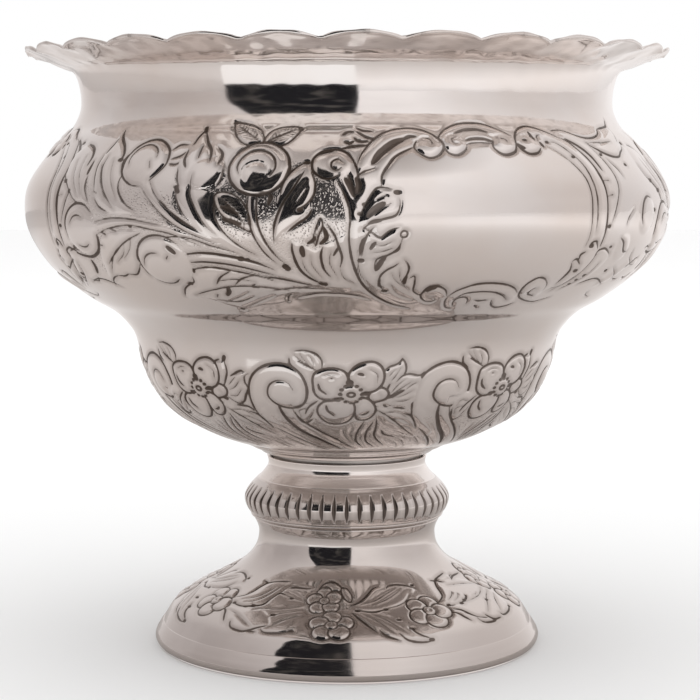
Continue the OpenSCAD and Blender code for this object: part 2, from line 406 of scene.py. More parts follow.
def shield_leaves(s):
    """The leaves that carry the lower right corner of the shield."""
    s.dome([(98, -19), (102, -14), (107, -13), (109, -18), (106, -27), (98, -36), (95, -33),
            (97, -26)], 0.9, 5)
    s.dome([(109, -20), (111, -15.5), (116, -16.5), (118, -21), (113, -29), (104, -36), (101, -36)], 0.8, 5)
    s.lines(
        1.0, [(99, -20), (99, -18), (101, -16.5)], [(102, -13), (105, -12), (107.5, -15.5)],
        [(96, -21), (98, -20), (101, -22.5)], [(96, -21.5), (97.5, -25), (97, -28), (95, -33)],
        [(108.5, -20), (108.5, -17), (112, -15.5), (115, -16.5), (118, -18.5)],
        [(110, -34), (118, -31.5), (124, -32), (132, -35.5)],
    )
    s.lines(
        0.6, [(95, -38), (103, -31), (107, -24), (109, -18)], [(100, -37), (110, -29), (113, -22)],
        [(93, -37), (100, -33), (104, -27)],
    )
    s.dots(2.2, (103, -14), (109, -28.5), (100.5, -25.5))
    s.dots(1.6, (116.5, -15), (106, -31), (104, -33.5))


def foliage_column(s):
    """The tall leaf that climbs the shield's left side, with its lobes turned out over the shield."""
    s.dome([(5, -2), (9, 6), (14, 9), (18, 8), (19, 3), (17.5, -1), (12, -3), (8, -6)], 1.0, 4)
    s.dome([(6, -6), (12, -8), (18, -4.5), (20.5, -8), (19, -13), (15, -17), (9, -19), (6, -14)], 1.0, 4)
    s.dome([(5, -21), (9, -18), (15, -19), (21, -18), (24.5, -22), (24.5, -27), (27.5, -30), (28, -35),
            (32, -38.5), (31, -43), (24, -43.5), (14, -37), (8, -30)], 0.9, 5)
    s.line([(1.5, 0), (1, -10), (2.5, -20), (6, -30), (12, -38), (20, -44), (29, -47)], 1.2)
    s.lines(
        1.0, [(-2, 16.5), (0, 16.5), (1.5, 13), (3, 8)], [(-3.5, 13), (-1, 8), (1, 2), (1.5, -5)],
        [(5, -2), (6, 2), (10, 9), (13, 10), (17, 9)],
        [(19, 6), (19, 3), (17.5, -0.5), (13, -2), (9, -3), (5.5, -6)],
        [(6, -5), (9, -7), (12, -9), (14, -7.5), (16, -6), (19, -5)],
        [(20, -9), (19, -13), (16, -16), (13, -17), (11, -18.5), (10.5, -22)],
        [(6, -9), (5, -13), (5.3, -17)],
        [(12.5, -31.4), (12.5, -28), (13.3, -25.1), (15.4, -22.7), (17.7, -21.3), (19.6, -19.6)],
        [(21.4, -18.2), (22.9, -20.3), (23.7, -22.7), (23.2, -25.8), (21.8, -29.3)],
        [(9.9, -4.9), (7.3, -8.2), (6, -12.6), (5.8, -17)],
        [(19.6, -12.6), (18.5, -14.6), (15.7, -15.9), (14.1, -17.6)], [(13, -27), (13, -30.5), (14.5, -33)],
        [(24.5, -27.5), (26.5, -26.5), (27, -30), (27.5, -35), (31, -38)],
    )
    s.lines(
        0.5, [(9, -1), (12, 2), (16, 4)], [(10, 5), (13, 6.5), (15, 6.5)], [(9, -11), (13, -12), (17, -10)],
        [(9, -15), (13, -14.5), (17, -13)], [(17, -24), (19, -28), (24, -33)],
        [(20, -22), (21, -28), (26, -35)], [(17, -30), (21, -36), (28, -40)],
        [(4, -14), (5, -24), (9, -32)],
    )
    s.line([(7.5, -1), (10, 1.5), (13.5, 4)], 3.0)
    s.line([(3.8, 7.5), (4.5, 11), (3.5, 14)], 2.4)
    s.line([(-0.5, 14), (1.5, 10), (3, 6)], 2.2)
    s.line([(14.4, -17.3), (12.8, -19.4), (11, -23)], 2.4)
    s.line([(7.8, -3.5), (9.9, -2.8), (12.5, -2.3)], 1.8)
    s.line([(10.5, -10.5), (9.6, -11.8), (8.6, -13.6)], 1.7)
    s.line([(23.2, -26), (22.7, -28), (23, -30)], 1.8)
    s.dots(2.4, (18, 8), (5.4, -18.7), (15.3, -34))
    s.ring(20.6, -7.7, 1.3, 0.8)
    s.dots(1.8, (6.5, 3.5), (4.8, 0))


def shell_volute(s):
    """The curl at the shield's upper left corner, under a tuft of short lines."""
    s.dome(circle(-5.5, 19.7, 7.2), 1.2, 6)
    s.line([(4, 12.5), (4, 17), (2.5, 22), (0, 25.5), (-4, 27), (-9, 26), (-12.3, 22.5), (-12.3, 17.5),
            (-9, 14), (-5.5, 13.5), (-2.5, 15)], 1.3)
    s.line([(-1, 20), (-3, 22), (-5.3, 20.5), (-5.3, 18), (-3.5, 16.8), (-2, 17.8)], 1.0)
    s.line([(-11, 24.5), (-8, 25.8), (-5, 26)], 2.2)
    s.lines(
        1.6, [(-1.5, 34), (0.5, 35.7), (3, 36)], [(3, 33), (5, 31), (9, 31)], [(4, 36), (8, 33), (12, 32)],
        [(-2, 27.3), (3, 28.5), (8, 29)], [(-1, 31), (1, 30), (3, 31)], [(4, 38), (7, 36.5), (11, 36)],
    )


def rosebud(s):
    """The round bud on its stem, with two leaves above it."""
    s.leaf((-33.5, 30), (-48, 41), 9.5, veins=4, high=0.7)
    s.leaf((-32.5, 30), (-18, 38.5), 9.5, veins=4, high=0.7)
    s.dots(2.4, (-47.5, 41), (-18.5, 37.5))
    s.cord([(-33.5, 9), (-33, 0), (-31.5, -8), (-28, -16), (-23, -22)], 4.2, 0.7)
    s.dome(circle(-32.5, 18.6, 11.6), 1.3, 7, base=0.2)
    s.ring(-32.5, 18.6, 11.7, 1.3)
    s.line(arc(-33.4, 18.6, 7.3, 215, -40), 1.2)
    s.line(arc(-33.4, 18.6, 10.2, 150, 20), 0.6)
    s.dome(circle(-33.5, 15.5, 5.2), 1.3, 4.5, base=0.9)
    s.lines(
        1.0, [(-35.8, 8), (-35, 0), (-33.5, -8), (-30.2, -15), (-26, -20)],
        [(-31.8, 8), (-31.8, -2), (-29.5, -10), (-26, -16.5), (-23, -20)],
        [(-31.5, 8), (-28, 7.7), (-26.3, 6), (-28, 2.5)],
    )
    s.dot(-27.3, 5, 1.8, 2, 80)


def tulip(s):
    """The tall bud left of the rosebud, and the small leaf on its stem."""
    s.dome([(-60.5, 37), (-57, 31), (-51, 27.5), (-47.5, 22), (-46.5, 17), (-49.5, 11.5), (-56, 10),
            (-62.5, 12), (-66, 19), (-65, 26), (-62.5, 32)], 1.2, 6)
    s.dome(circle(-53, 16, 7.5, 0.9), 0.9, 6, base=0.9)
    s.dome([(-65, 11), (-58, 9), (-50, 9), (-47, 3), (-45, -4), (-38, -12), (-30, -18), (-41, -15),
            (-51, -9), (-58, -3), (-62, 3)], 0.5, 4)
    s.lines(
        1.4, [(-60, 37), (-62, 33), (-62.8, 29)], [(-59.5, 36), (-56.5, 30.5), (-53.5, 26), (-52.5, 20.5)],
        [(-51.5, 28.5), (-48.5, 24.5), (-48.8, 19)], [(-64, 27), (-64, 22), (-62, 18)],
    )
    s.lines(
        0.9, [(-57.8, 29), (-58, 26), (-58, 22)], [(-65.8, 18.5), (-64.5, 13), (-62.5, 9.5)],
        [(-58, 15), (-58, 8), (-55.5, 2), (-52, -4), (-47.5, -8.5)],
        [(-47, 9), (-48, 3), (-47, -3), (-43, -9), (-38, -13.5), (-33, -16.5)],
        [(-46.3, 20), (-46.2, 14), (-48, 10)], [(-64.5, 9), (-62.5, 3), (-60, -1)],
    )
    s.dot(-60.3, 37.5, 2.2, 2.6, 110)
    s.dot(-63.5, 9, 2, 2.4, 125)
    s.leaf((-48, 7), (-34.5, -7), 9, bend=1.5, veins=5, high=0.6, rim=0.8)
    s.lines(2.0, [(-45.5, 2.5), (-42, 1.5), (-38.5, -0.5)], [(-45, -2), (-41.5, -3), (-37.5, -4)])


def teardrop(s):
    """The long drop-shaped leaf between the rosebud and the shield."""
    s.dome([(-14.5, 19.5), (-18, 18), (-22, 13), (-24.5, 6), (-25, -2), (-26, -11), (-22, -7), (-17, -3),
            (-13, 1.5), (-12, 6), (-11.5, 12), (-12.5, 17)], 0.9, 4)
    s.lines(
        1.1, [(-15, 21), (-18, 19), (-21, 15.5), (-22.8, 11), (-23.2, 7)],
        [(-13, 17), (-11.2, 12), (-11.5, 7), (-14, 3.5), (-16.5, 2)],
        [(-12, 2), (-13.5, -1), (-17.5, -4), (-21, -7)],
        [(-15, 17), (-18.5, 10), (-22.5, 3.5), (-25.5, -4), (-26, -11)],
    )
    s.lines(0.5, [(-14, 13), (-17.5, 8), (-21, 2)], [(-13.5, 10), (-16.5, 5), (-19, 2)])
    s.dots(2.2, (-14.6, 20.8), (-16.2, 1.5))


def mound(s):
    """The ribbed leaf that everything grows from, with a sprig on top of it."""
    s.dome([(-19.5, -10), (-20, -15), (-18.5, -22), (-14, -29), (-6, -34), (1, -34), (2, -26), (1, -14),
            (0.5, -7), (-2.6, -8.8), (-5.2, -9.9), (-8.3, -11.3), (-9.3, -12.8), (-11.2, -13.4),
            (-13.5, -12), (-15, -11.5)], 1.0, 4)
    s.dome([(-9.1, -1.5), (-8.3, -4.4), (-9.7, -8.2), (-11, -12.6), (-11.6, -8.8),
            (-10.4, -4.6)], 0.8, 1.5, 0.7)
    s.line([(-19.5, -11), (-19.5, -15.2), (-17.7, -22.4), (-14.5, -26.5), (-9.9, -29.7)], 1.4)
    s.lines(
        1.1, [(-8.3, -12.3), (-9.2, -16.4), (-8.3, -22.4), (-5.7, -26.5)],
        [(-7, -3.2), (-4.1, -8.2), (-2.6, -12.6), (-1.5, -17), (-2.3, -21.7)],
        [(-2.8, -12.6), (-3.6, -14.2), (-4.7, -16.4)],
    )
    s.lines(
        0.5, [(-2.3, -21.7), (-1, -26.5), (3.7, -31.5)], [(-16.5, -17), (-15, -23), (-11, -28)],
        [(-13, -16), (-12.5, -21), (-9, -27)], [(-5.5, -14), (-6, -20), (-3, -27)],
        [(-20, -34), (-13, -32), (-7, -33)],
    )
    s.line([(-11, -8.6), (-12, -10.4), (-14, -11.6)], 1.6)
    s.line([(-8, -5), (-7, -9), (-9.5, -11.9)], 1.9)
    s.line([(-15.9, -12.4), (-15.9, -14.5), (-15.5, -16.6)], 2.2)
    s.line([(-10, -5), (-10.4, -8)], 1.0)
    s.dot(-9, -30, 2.4, 1.8, -12)
    s.dot(-22.5, -22, 2.8, 1.6, 130)


def right_stems(s):
    """The bundle of stems under the buds, running from the mound out to the left."""
    s.cord([(-78, 11), (-70, 3), (-61, -4), (-48, -11)], 4, 0.6)
    s.cord([(-103, -6), (-90, -3.5), (-74, -5), (-58, -9)], 3.5, 0.6)
    s.cord([(-64, -19), (-50, -18.5), (-35, -21.5), (-22, -26), (-8, -33)], 4.5, 0.7)
    s.lines(
        0.8, [(-80, 10), (-74, 3.5), (-68, -2), (-60, -7), (-48, -12)],
        [(-77, 13), (-72, 6), (-65, 0), (-58, -4.5), (-50, -9)],
        [(-70, 5), (-64, -1), (-57, -5.5), (-48, -9)], [(-70, -9.5), (-60, -9.5), (-50, -13), (-40, -16)],
        [(-104, -4), (-95, -2.5), (-85, -2.5), (-75, -4), (-71, -4.5)],
        [(-103, -9), (-96, -6.5), (-85, -5), (-75, -6.5), (-65, -8.5), (-55, -13)],
        [(-20, -39), (-12, -36.5), (-5, -36.5), (3, -37.5), (10, -40)],
        [(-30, -34), (-22, -33), (-12, -33.5), (-4, -34)],
    )
    s.lines(
        1.2, [(-64, -17), (-55, -16), (-45, -17), (-35, -19.5), (-27, -23)],
        [(-62, -20.5), (-55, -20), (-45, -21), (-35, -23.5), (-28, -26)],
        [(-32, -27), (-25, -28), (-18, -30), (-13, -31)],
    )
    s.dots(2.4, (-45.5, -11.3), (-39.5, -18.2), (-9.5, -30.5))
    s.dot(-22.5, -22, 2.8, 1.6, 130)
    s.dots(1.5, (-43.5, -13.2), (-37, -18.6), (-5, -32.5), (-3, -33.5), (-84.5, -5.5))


def low_leaf(s):
    """The broad toothed leaf low down, from the mound to the left."""
    s.dome([(-20, -33), (-30, -28), (-42, -23.5), (-54, -22), (-62, -25), (-65, -32), (-70, -36),
            (-72, -41), (-62, -41), (-54, -45), (-46, -48), (-38, -45), (-28, -43), (-22, -39)], 1.0, 6)
    s.lines(
        0.9, [(-23, -34), (-34, -32), (-46, -32), (-58, -35), (-66, -38)],
        [(-53, -31), (-50, -27), (-45, -24)], [(-45, -31), (-41, -27.5), (-35, -26)],
        [(-63, -26), (-63, -30), (-66, -32), (-70, -35), (-73, -40)],
        [(-62, -24), (-54, -22.5), (-46, -23.5), (-36, -26), (-28, -29)],
        [(-22, -36), (-24, -38), (-25, -42)], [(-36, -30), (-38, -32), (-35, -32.5)],
        [(-57, -41.5), (-47, -42), (-39, -38)],
    )
    s.lines(
        0.5, [(-30, -37), (-38, -42), (-46, -47)], [(-40, -35), (-46, -39), (-54, -43)],
        [(-36, -29), (-44, -28), (-52, -29)],
    )
    s.line([(-48.5, -32), (-49, -35), (-51, -38)], 2.2)
    s.line([(-55, -37), (-56, -39)], 2.2)
    s.dots(2.2, (-48, -48), (-61.5, -24.5), (-65.5, -31.5))


def heart_bud(s):
    """The bud that ends in a point, with three short leaves beside it."""
    s.dome(circle(-83.3, 21.5, 10.3), 1.3, 7)
    s.line([(-80, 10), (-86, 11), (-91.5, 15), (-93.7, 21), (-92, 27), (-87.5, 31), (-82, 32.3),
            (-77, 30.5), (-73, 26.5), (-72, 21), (-73.5, 17), (-77, 12.5)], 1.3)
    s.line(arc(-84, 22.5, 6.8, 215, 0), 1.0)
    s.line([(-79.7, 21), (-78.5, 18)], 2.4)
    s.line([(-93.5, 25), (-94, 21.5), (-92.5, 17)], 1.8)
    s.lines(
        1.1, [(-72, 27), (-69, 29.5), (-65, 29.5)], [(-71, 22.5), (-67, 24), (-65, 26)],
        [(-71, 20.5), (-68, 20), (-66, 21)],
    )


def left_buds(s):
    """The two round buds low on the left of the spray."""
    s.dome(circle(-113.5, -8, 10.5), 1.4, 7)
    s.line(arc(-113.5, -7.5, 10.7, 200, 40), 1.2)
    s.line(arc(-113.5, -8, 6.5, 150, 60), 0.8)
    s.line(arc(-113.5, -8, 6.5, 240, 310), 0.8)
    s.line([(-123, -18), (-118, -19.2), (-113, -19.5), (-107, -17), (-104, -12.5), (-103.5, -9)], 1.5)
    s.line([(-105, -13.7), (-101.5, -13.5)], 2.2)
    s.line([(-115, -21), (-115, -25), (-117, -28)], 2.0)
    s.lines(
        0.9, [(-138, -26), (-132, -22.5), (-128, -21)], [(-127, -17), (-123, -16), (-120, -17)],
        [(-127, -32), (-122, -33), (-119, -30)], [(-139, -32), (-136, -33), (-133, -33)],
    )
    s.dome(circle(-73.2, -21, 12), 1.3, 7)
    s.dome(circle(-75.5, -24, 7), 1.0, 6, base=0.8)
    s.line(arc(-73.2, -21, 12.2, 215, 45), 1.1)
    s.line(arc(-75.5, -23.5, 7.6, 170, 80), 0.8)
    s.line(arc(-75.5, -22.5, 9, 235, 320), 0.9)
    s.line([(-69, -13), (-67.5, -14.5), (-66, -16)], 2.2)
    s.line([(-69.5, -17), (-70.7, -18.5)], 1.8)


def left_leaves(s):
    """The tall leaves on the left of the spray."""
    s.dome([(-106, 38), (-100, 30), (-95, 22), (-91, 13), (-87, 4), (-82, 0), (-88, -1), (-96, 0),
            (-103, 6), (-107.5, 14), (-109, 22), (-107, 30)], 1.0, 5)
    s.dome([(-126, 30), (-119, 28.5), (-115, 23), (-112.5, 16), (-109, 7), (-106, 3), (-112, 4),
            (-119, 5.5), (-126, 12), (-131, 20), (-130.5, 27)], 0.9, 5)
    s.dome([(-80, -8), (-86, -6.5), (-97, -8), (-104, -14), (-108, -25), (-110, -33), (-100, -28),
            (-90, -26), (-85, -19), (-84, -12)], 0.9, 5)
    s.lines(
        1.4, [(-106.5, 38.3), (-103, 33), (-99, 29), (-96.5, 25), (-96, 21)],
        [(-105, 33), (-107, 28), (-108, 25)], [(-126, 30.5), (-120, 28.5), (-116.5, 24.5), (-115.5, 19)],
        [(-113.3, 22), (-113, 18), (-112.5, 15)],
    )
    s.lines(
        0.9, [(-92, 15), (-91, 9), (-87, 3.5), (-82, 0.5)],
        [(-108.8, 25), (-109, 20), (-107.5, 16), (-104, 8)], [(-104, 5.5), (-101, 2), (-96, 0)],
        [(-104.5, 24), (-104.2, 18), (-99, 9), (-92, 1)], [(-112, 15), (-110.5, 9), (-107, 3.5)],
        [(-131.5, 20), (-129.5, 15), (-126, 12), (-121, 8), (-117, 4.5), (-113, 3)],
        [(-80, -8), (-88, -11.5), (-95, -16), (-103, -22)],
        [(-111, -35), (-109.5, -32), (-106, -29.5), (-103, -28.5)],
        [(-103, -28.3), (-99, -28.8), (-95, -27)], [(-96, -27.5), (-91, -27.5), (-88, -25), (-86, -22)],
    )
    s.lines(
        0.5, [(-100, 22), (-97, 14), (-91, 5)], [(-106, 20), (-102, 12), (-97, 5)],
        [(-120, 24), (-118, 16), (-112, 7)], [(-125, 22), (-121, 14), (-114, 6)],
        [(-85, -10), (-87.5, -15), (-92, -19)], [(-89, -12), (-91.5, -17), (-97, -21)],
        [(-94, -15), (-99, -19.5), (-105, -27)],
    )
    s.line([(-101, -8.2), (-98, -9)], 2.2)
    s.line([(-95, -6.7), (-92, -7.5)], 2.0)
    s.line([(-104.8, 8), (-102.2, 7.2)], 2.0)
    s.dots(2.2, (-132, 31), (-126.5, 12.3), (-121, 8), (-96.3, 22))


def gap_leaves(s):
    """The leaves and small bud that fill the wall right of the shield."""
    s.dome([(95, 37.5), (103, 37.5), (110, 34.5), (116, 33), (124, 34), (133, 38), (128, 31), (120, 28),
            (110, 31), (102, 34)], 0.7, 3)
    s.dome([(116, 28), (124, 23.5), (131, 23.5), (140, 28), (146, 36), (147, 40), (139, 39), (131, 35),
            (124, 31)], 0.8, 4)
    s.dome([(121, -11), (127, -10), (131, -17), (128, -22), (122, -20)], 0.8, 4)
    s.dome(circle(140, -2, 8), 1.2, 6)
    s.cord([(126, -36), (134, -30), (141, -24), (150, -24)], 5, 0.7)
    s.lines(
        1.2, [(94, 37), (100, 38), (105, 36.5), (110, 34.5), (116, 33.5), (122, 34), (128, 36), (132, 39)],
        [(132, 39), (139, 40), (146, 41), (150, 44)],
        [(112, 31), (116, 28.5), (120, 26), (126, 24), (132, 24), (136, 26), (141, 28), (143, 30)],
        [(136, -6), (134.5, -2), (136, 3), (140, 5.5), (144, 5)],
        [(121, -11), (124, -13), (127, -17), (131, -17.5)],
    )
    s.lines(
        0.7, [(113, 31), (118, 31), (124, 31), (133, 31.5)], [(140, 31), (144, 35), (147, 40)],
        [(128, 1), (124, -3), (123, -6)], [(128, -25), (133, -28), (137, -32)],
        [(127, -40), (130, -43), (136, -45)], [(137, -17), (139, -21), (144, -24.5), (149, -24.5)],
    )
    s.dots(2.0, (124, -27), (149, 0), (133, 20))


def belly_unit(s, shift, filled):
    """One shield and the spray of buds on its left, and the leaves on its right if there is room."""
    s.shift = shift
    s.mat([(-122, 20), (-100, 12), (-80, 14), (-66, 8), (-46, 20), (-20, 24), (0, 14), (3, -8), (-6, -30),
           (-30, -34), (-60, -30), (-90, -28), (-110, -30), (-124, -20)])
    for part in (left_leaves, low_leaf, right_stems, heart_bud, tulip, left_buds, teardrop, rosebud, mound,
                 foliage_column, cartouche, shell_volute, shield_leaves):
        part(s)
    if filled:
        gap_leaves(s)


def open_flower(s):
    """The open flower of the lower band, with five curled petals round a beaded ring."""
    for petal in (
        [(10, 6.5), (8, 9), (9.5, 12), (13, 13.3), (15.6, 11), (14.5, 8)],
        [(3, 8.5), (2.8, 3), (4, -2.5), (7.5, -3), (10.3, -0.5), (11.2, 3.2), (9.5, 6.8), (7, 8.5)],
        [(0, 9), (-4, 7.8), (-9, 6.7), (-11.6, 3.5), (-11.2, -1), (-8, -5), (-3.5, -5.7), (0.3, -3.8),
         (2.6, 0.3), (2.8, 5)],
        [(0.5, 11), (-3, 8), (-8, 7.3), (-11.8, 10), (-12.7, 15), (-12, 19.3), (-8.5, 21.4), (-4, 21.6),
         (-0.6, 20), (0.6, 16)],
        [(2, 12), (0.5, 17), (1.2, 20.5), (4.5, 23.5), (9, 24.4), (12.2, 22.6), (13.6, 19), (13, 15),
         (10.5, 12), (6, 10.8)],
    ):
        s.dome(petal, 0.5, 5.5, 1.1, base=0.1)
    s.lines(
        1.2, [(-10.7, 15.5), (-10, 12.5), (-7.5, 10.3)], [(-8.2, 5.3), (-7.6, 2), (-5, -0.8)],
        [(5.3, 0.2), (7, 0.6), (8.6, 2)], [(0.2, 19), (0.6, 17), (0.9, 15.6)],
    )
    s.lines(0.5, [(8, 21.5), (11, 19), (11, 15)], [(-9, 18.5), (-6, 19.5), (-3, 19)], [(12, 11), (13, 9.5)])
    s.line([(3.8, 19.4), (5, 19.3), (6.1, 18.9)], 1.5)
    s.line([(3.0, 4), (3.2, 1.8)], 2.2)
    s.dots(0.9, (-5.7, 17.5))
    s.dome(circle(1.5, 10.5, 4), 0.9, 3, base=0.5)
    for k in range(12):
        a = math.radians(30 * k)
        s.dot(1.5 + 4.1 * math.cos(a), 10.5 + 4.1 * math.sin(a), 1.8, 0.4)
    s.ring(1.5, 10.5, 1.4, 1.1, 0.7)
    s.dots(2.6, (-3.8, 8), (7, 10.8), (0.9, 15.8))


def band_leaves(s):
    """The leaves round a flower of the lower band that every repeat has."""
    s.dome([(11, 4), (17, 3), (24, 0), (29, -5), (32, -10), (34, -17), (27, -15), (20, -10), (14, -6),
            (12, 0)], 0.9, 5)
    s.dome([(-12, 7.5), (-17, 10), (-20.5, 7), (-21, 2), (-19.5, -3), (-17, -5), (-13.5, -2.5),
            (-11.5, 2)], 0.8, 4)
    s.dome([(-10.5, 20.5), (-17, 20.3), (-21, 24), (-20, 28.5), (-15, 29), (-11, 27.5),
            (-8.8, 24.5)], 0.4, 4)
    s.lines(
        1.0, [(11.5, 3), (18, -2), (25, -9), (31, -15)], [(22, 0.7), (26, -1), (28.7, -4.7), (31, -9.5)],
        [(18, 3.5), (20.5, 3.3), (23, 2.8)], [(-11, 7.5), (-15, 4), (-17, 0)],
        [(-21, 2), (-19.5, -3), (-17, -5), (-14, -2.5)], [(-10.8, 20.5), (-14, 22.5), (-18, 24.7)],
        [(-21, 26), (-20.7, 23), (-18, 20.5)],
        [(-19, 28.8), (-15, 29), (-11, 27.5), (-9, 24.5), (-9.2, 21.5)],
    )
    s.lines(
        0.5, [(14, 1), (20, 1), (26, -3)], [(17, -2), (23, -3), (29, -8)], [(21, -6), (27, -8), (31, -12)],
        [(14, -1), (16, -5), (22, -9)], [(-13, 5), (-18, 6), (-19.5, 3)], [(-15, 3), (-19, 2), (-18.5, -2)],
        [(-13, 3), (-14, 0), (-16, -3)], [(-13, 22), (-16, 26), (-17, 28)],
        [(-12, 22), (-12.5, 25), (-14, 27.5)], [(-15, 23.5), (-18, 26), (-19, 27.5)],
    )


def plain_leaves(s):
    """The two toothed leaves right of every other flower."""
    s.dome([(13, 19), (15, 22), (18, 23), (20.3, 25.5), (21.6, 21.5), (20.5, 18), (17, 14.5)], 0.8, 4)
    s.dome([(13, 8.5), (17, 13.5), (20, 18), (24, 19.2), (27.5, 18.5), (26.5, 12), (25.5, 6), (20, 4.5),
            (15, 5)], 0.8, 4)
    s.lines(
        1.0, [(13.3, 20), (15, 22), (17.5, 23), (19, 24), (20, 25.8)],
        [(20.2, 25.5), (21.3, 23), (21.5, 20.5), (20.5, 18)], [(15, 12), (15.5, 14), (16, 15)],
        [(18, 15.5), (20, 18), (23, 19), (27, 18.3), (28.8, 20)], [(14, 5.5), (14.7, 4.5), (16, 4)],
    )
    s.line([(13.8, 8.3), (17.5, 9.8), (21.5, 12.3)], 1.6)
    s.lines(
        0.5, [(16, 9.5), (19, 12), (24, 16)], [(17, 8.5), (21, 9.5), (25, 12)],
        [(18, 7), (22, 7), (25, 8.5)], [(16.5, 11), (19, 14.5), (22, 17.5)],
        [(16, 16), (18, 19), (19.5, 22)], [(15, 18), (16.5, 20), (18, 21.5)],
        [(22, 12.5), (24.5, 14.5), (26.5, 15.5)],
    )
    s.dots(1.9, (13.7, 8.4), (13.2, 11.3))


def beaded_leaves(s):
    """The beaded leaf and the wavy leaf right of the other flowers."""
    s.dome([(11, 13), (10.5, 18), (12.5, 22.5), (16, 23.5), (17.3, 19), (15.5, 15), (14.5, 12)], 0.8, 4)
    s.dome([(15, 8), (17.5, 5.5), (20, 4.3), (23, 6), (24.3, 9), (25.7, 12), (24.6, 15), (26.5, 18.5),
            (23.5, 19.7), (20.5, 18), (17.5, 15)], 0.9, 4)
    s.lines(
        1.0, [(11.5, 20.5), (12.5, 23), (15, 24.2)], [(16.8, 23.5), (17.4, 19), (16, 15), (14.5, 12)],
        [(15, 8), (17.5, 5.5), (20, 4.4), (22.5, 6), (24, 9), (25.6, 12), (24.6, 14.5), (25, 17.5),
         (27, 18.8)], [(18.5, 17), (20.5, 18.2), (23.5, 19.7), (25.5, 19)],
        [(21, 4), (24, 2.5), (25.5, 0.5)],
    )
    s.lines(
        0.5, [(17, 8.5), (20, 8.5), (23, 12)], [(17, 11), (20, 12.5), (23, 16)],
        [(17, 13), (19, 15), (21, 17)],
    )
    s.line([(10.8, 14.5), (12.5, 17), (13.8, 19.5)], 1.5)
    s.dot(16.8, 24.5, 2.2, 1.2, 70)
    s.dot(13, 11, 1.9, 2.2)
    s.dot(13.2, 7, 2.1, 2.4, -25)


def band_scroll(s):
    """The big scroll with its stalk, and the ribs that run down beside it."""
    s.cord([(-24, 4), (-21, -4), (-13, -13), (-4, -23), (6, -32)], 7, 0.8)
    s.cord([(41, 4), (46, -7), (54, -17), (64, -28)], 4, 0.7)
    s.dome(circle(37.3, 12, 11.7), 0.45, 6)
    s.dome(circle(39.3, 10.3, 5.9), 1.3, 5.5, base=0.5)
    s.cord([(30, 2), (31, -4), (37, -12), (46, -22), (54, -30)], 5.5, 0.7)
    s.lines(
        1.2,
        [(31.5, -8.5), (28, -4), (26, 2), (25.5, 10), (27.5, 17), (32, 21.5), (38, 23.5), (43, 22.5),
         (47, 19), (49, 13), (48, 7), (45, 4), (41, 3.5), (37, 5), (34, 8), (33.5, 11), (35, 14.5),
         (38.5, 16.3), (42, 15.3), (44, 12)], [(42, 3.5), (45, -3), (51, -10), (60, -20), (68, -29)],
        [(31.5, -8.5), (38, -15), (46, -24), (52, -31)], [(7, -4), (5, -10), (4, -16), (5, -22), (9, -29)],
        [(11, -4), (9, -10), (8.5, -16), (10, -22), (15, -28)],
        [(12, 0), (12.5, -8), (12.5, -14), (15, -20), (20, -26)],
        [(15, -10), (17, -14), (21, -16), (23, -17)],
    )
    s.line([(37, 4.5), (38.5, -2), (43, -10), (50, -18), (60, -30)], 2.2)
    s.lines(
        0.5, [(5.5, -14), (6.5, -20), (11, -29)], [(10, -12), (11.5, -19), (17, -27)],
        [(23, -17), (28, -21), (33, -28)], [(20, -19), (26, -24), (30, -31)],
        [(28, -12), (34, -18), (42, -27)], [(-2, -9), (-1, -16), (3, -24)], [(2, -8), (1.5, -15), (4, -22)],
    )


def lower_unit(s, x, beaded):
    """One repeat of the lower band: a flower, the scroll on its right and the leaves round them."""
    s.shift = x
    s.mat([(-24, 4), (-12, 8), (10, 8), (26, 6), (38, -2), (46, -12), (60, -30), (20, -34),
           (-10, -26)], 0.1)
    band_scroll(s)
    band_leaves(s)
    if beaded:
        beaded_leaves(s)
    else:
        plain_leaves(s)
    open_flower(s)


def small_rose(s, x, y, r, turn):
    """A little five-petalled flower of the foot's garland."""
    for k in range(5):
        a = math.radians(turn + 72 * k)
        s.dome(circle(x + 0.62 * r * math.cos(a), y + 0.62 * r * math.sin(a), 0.5 * r), 0.55, 2.6, 0.8)
    s.dome(circle(x, y, 0.3 * r), 0.4, 1.6, 0.7, base=0.35)
    s.dot(x, y, 0.9, 0.3)


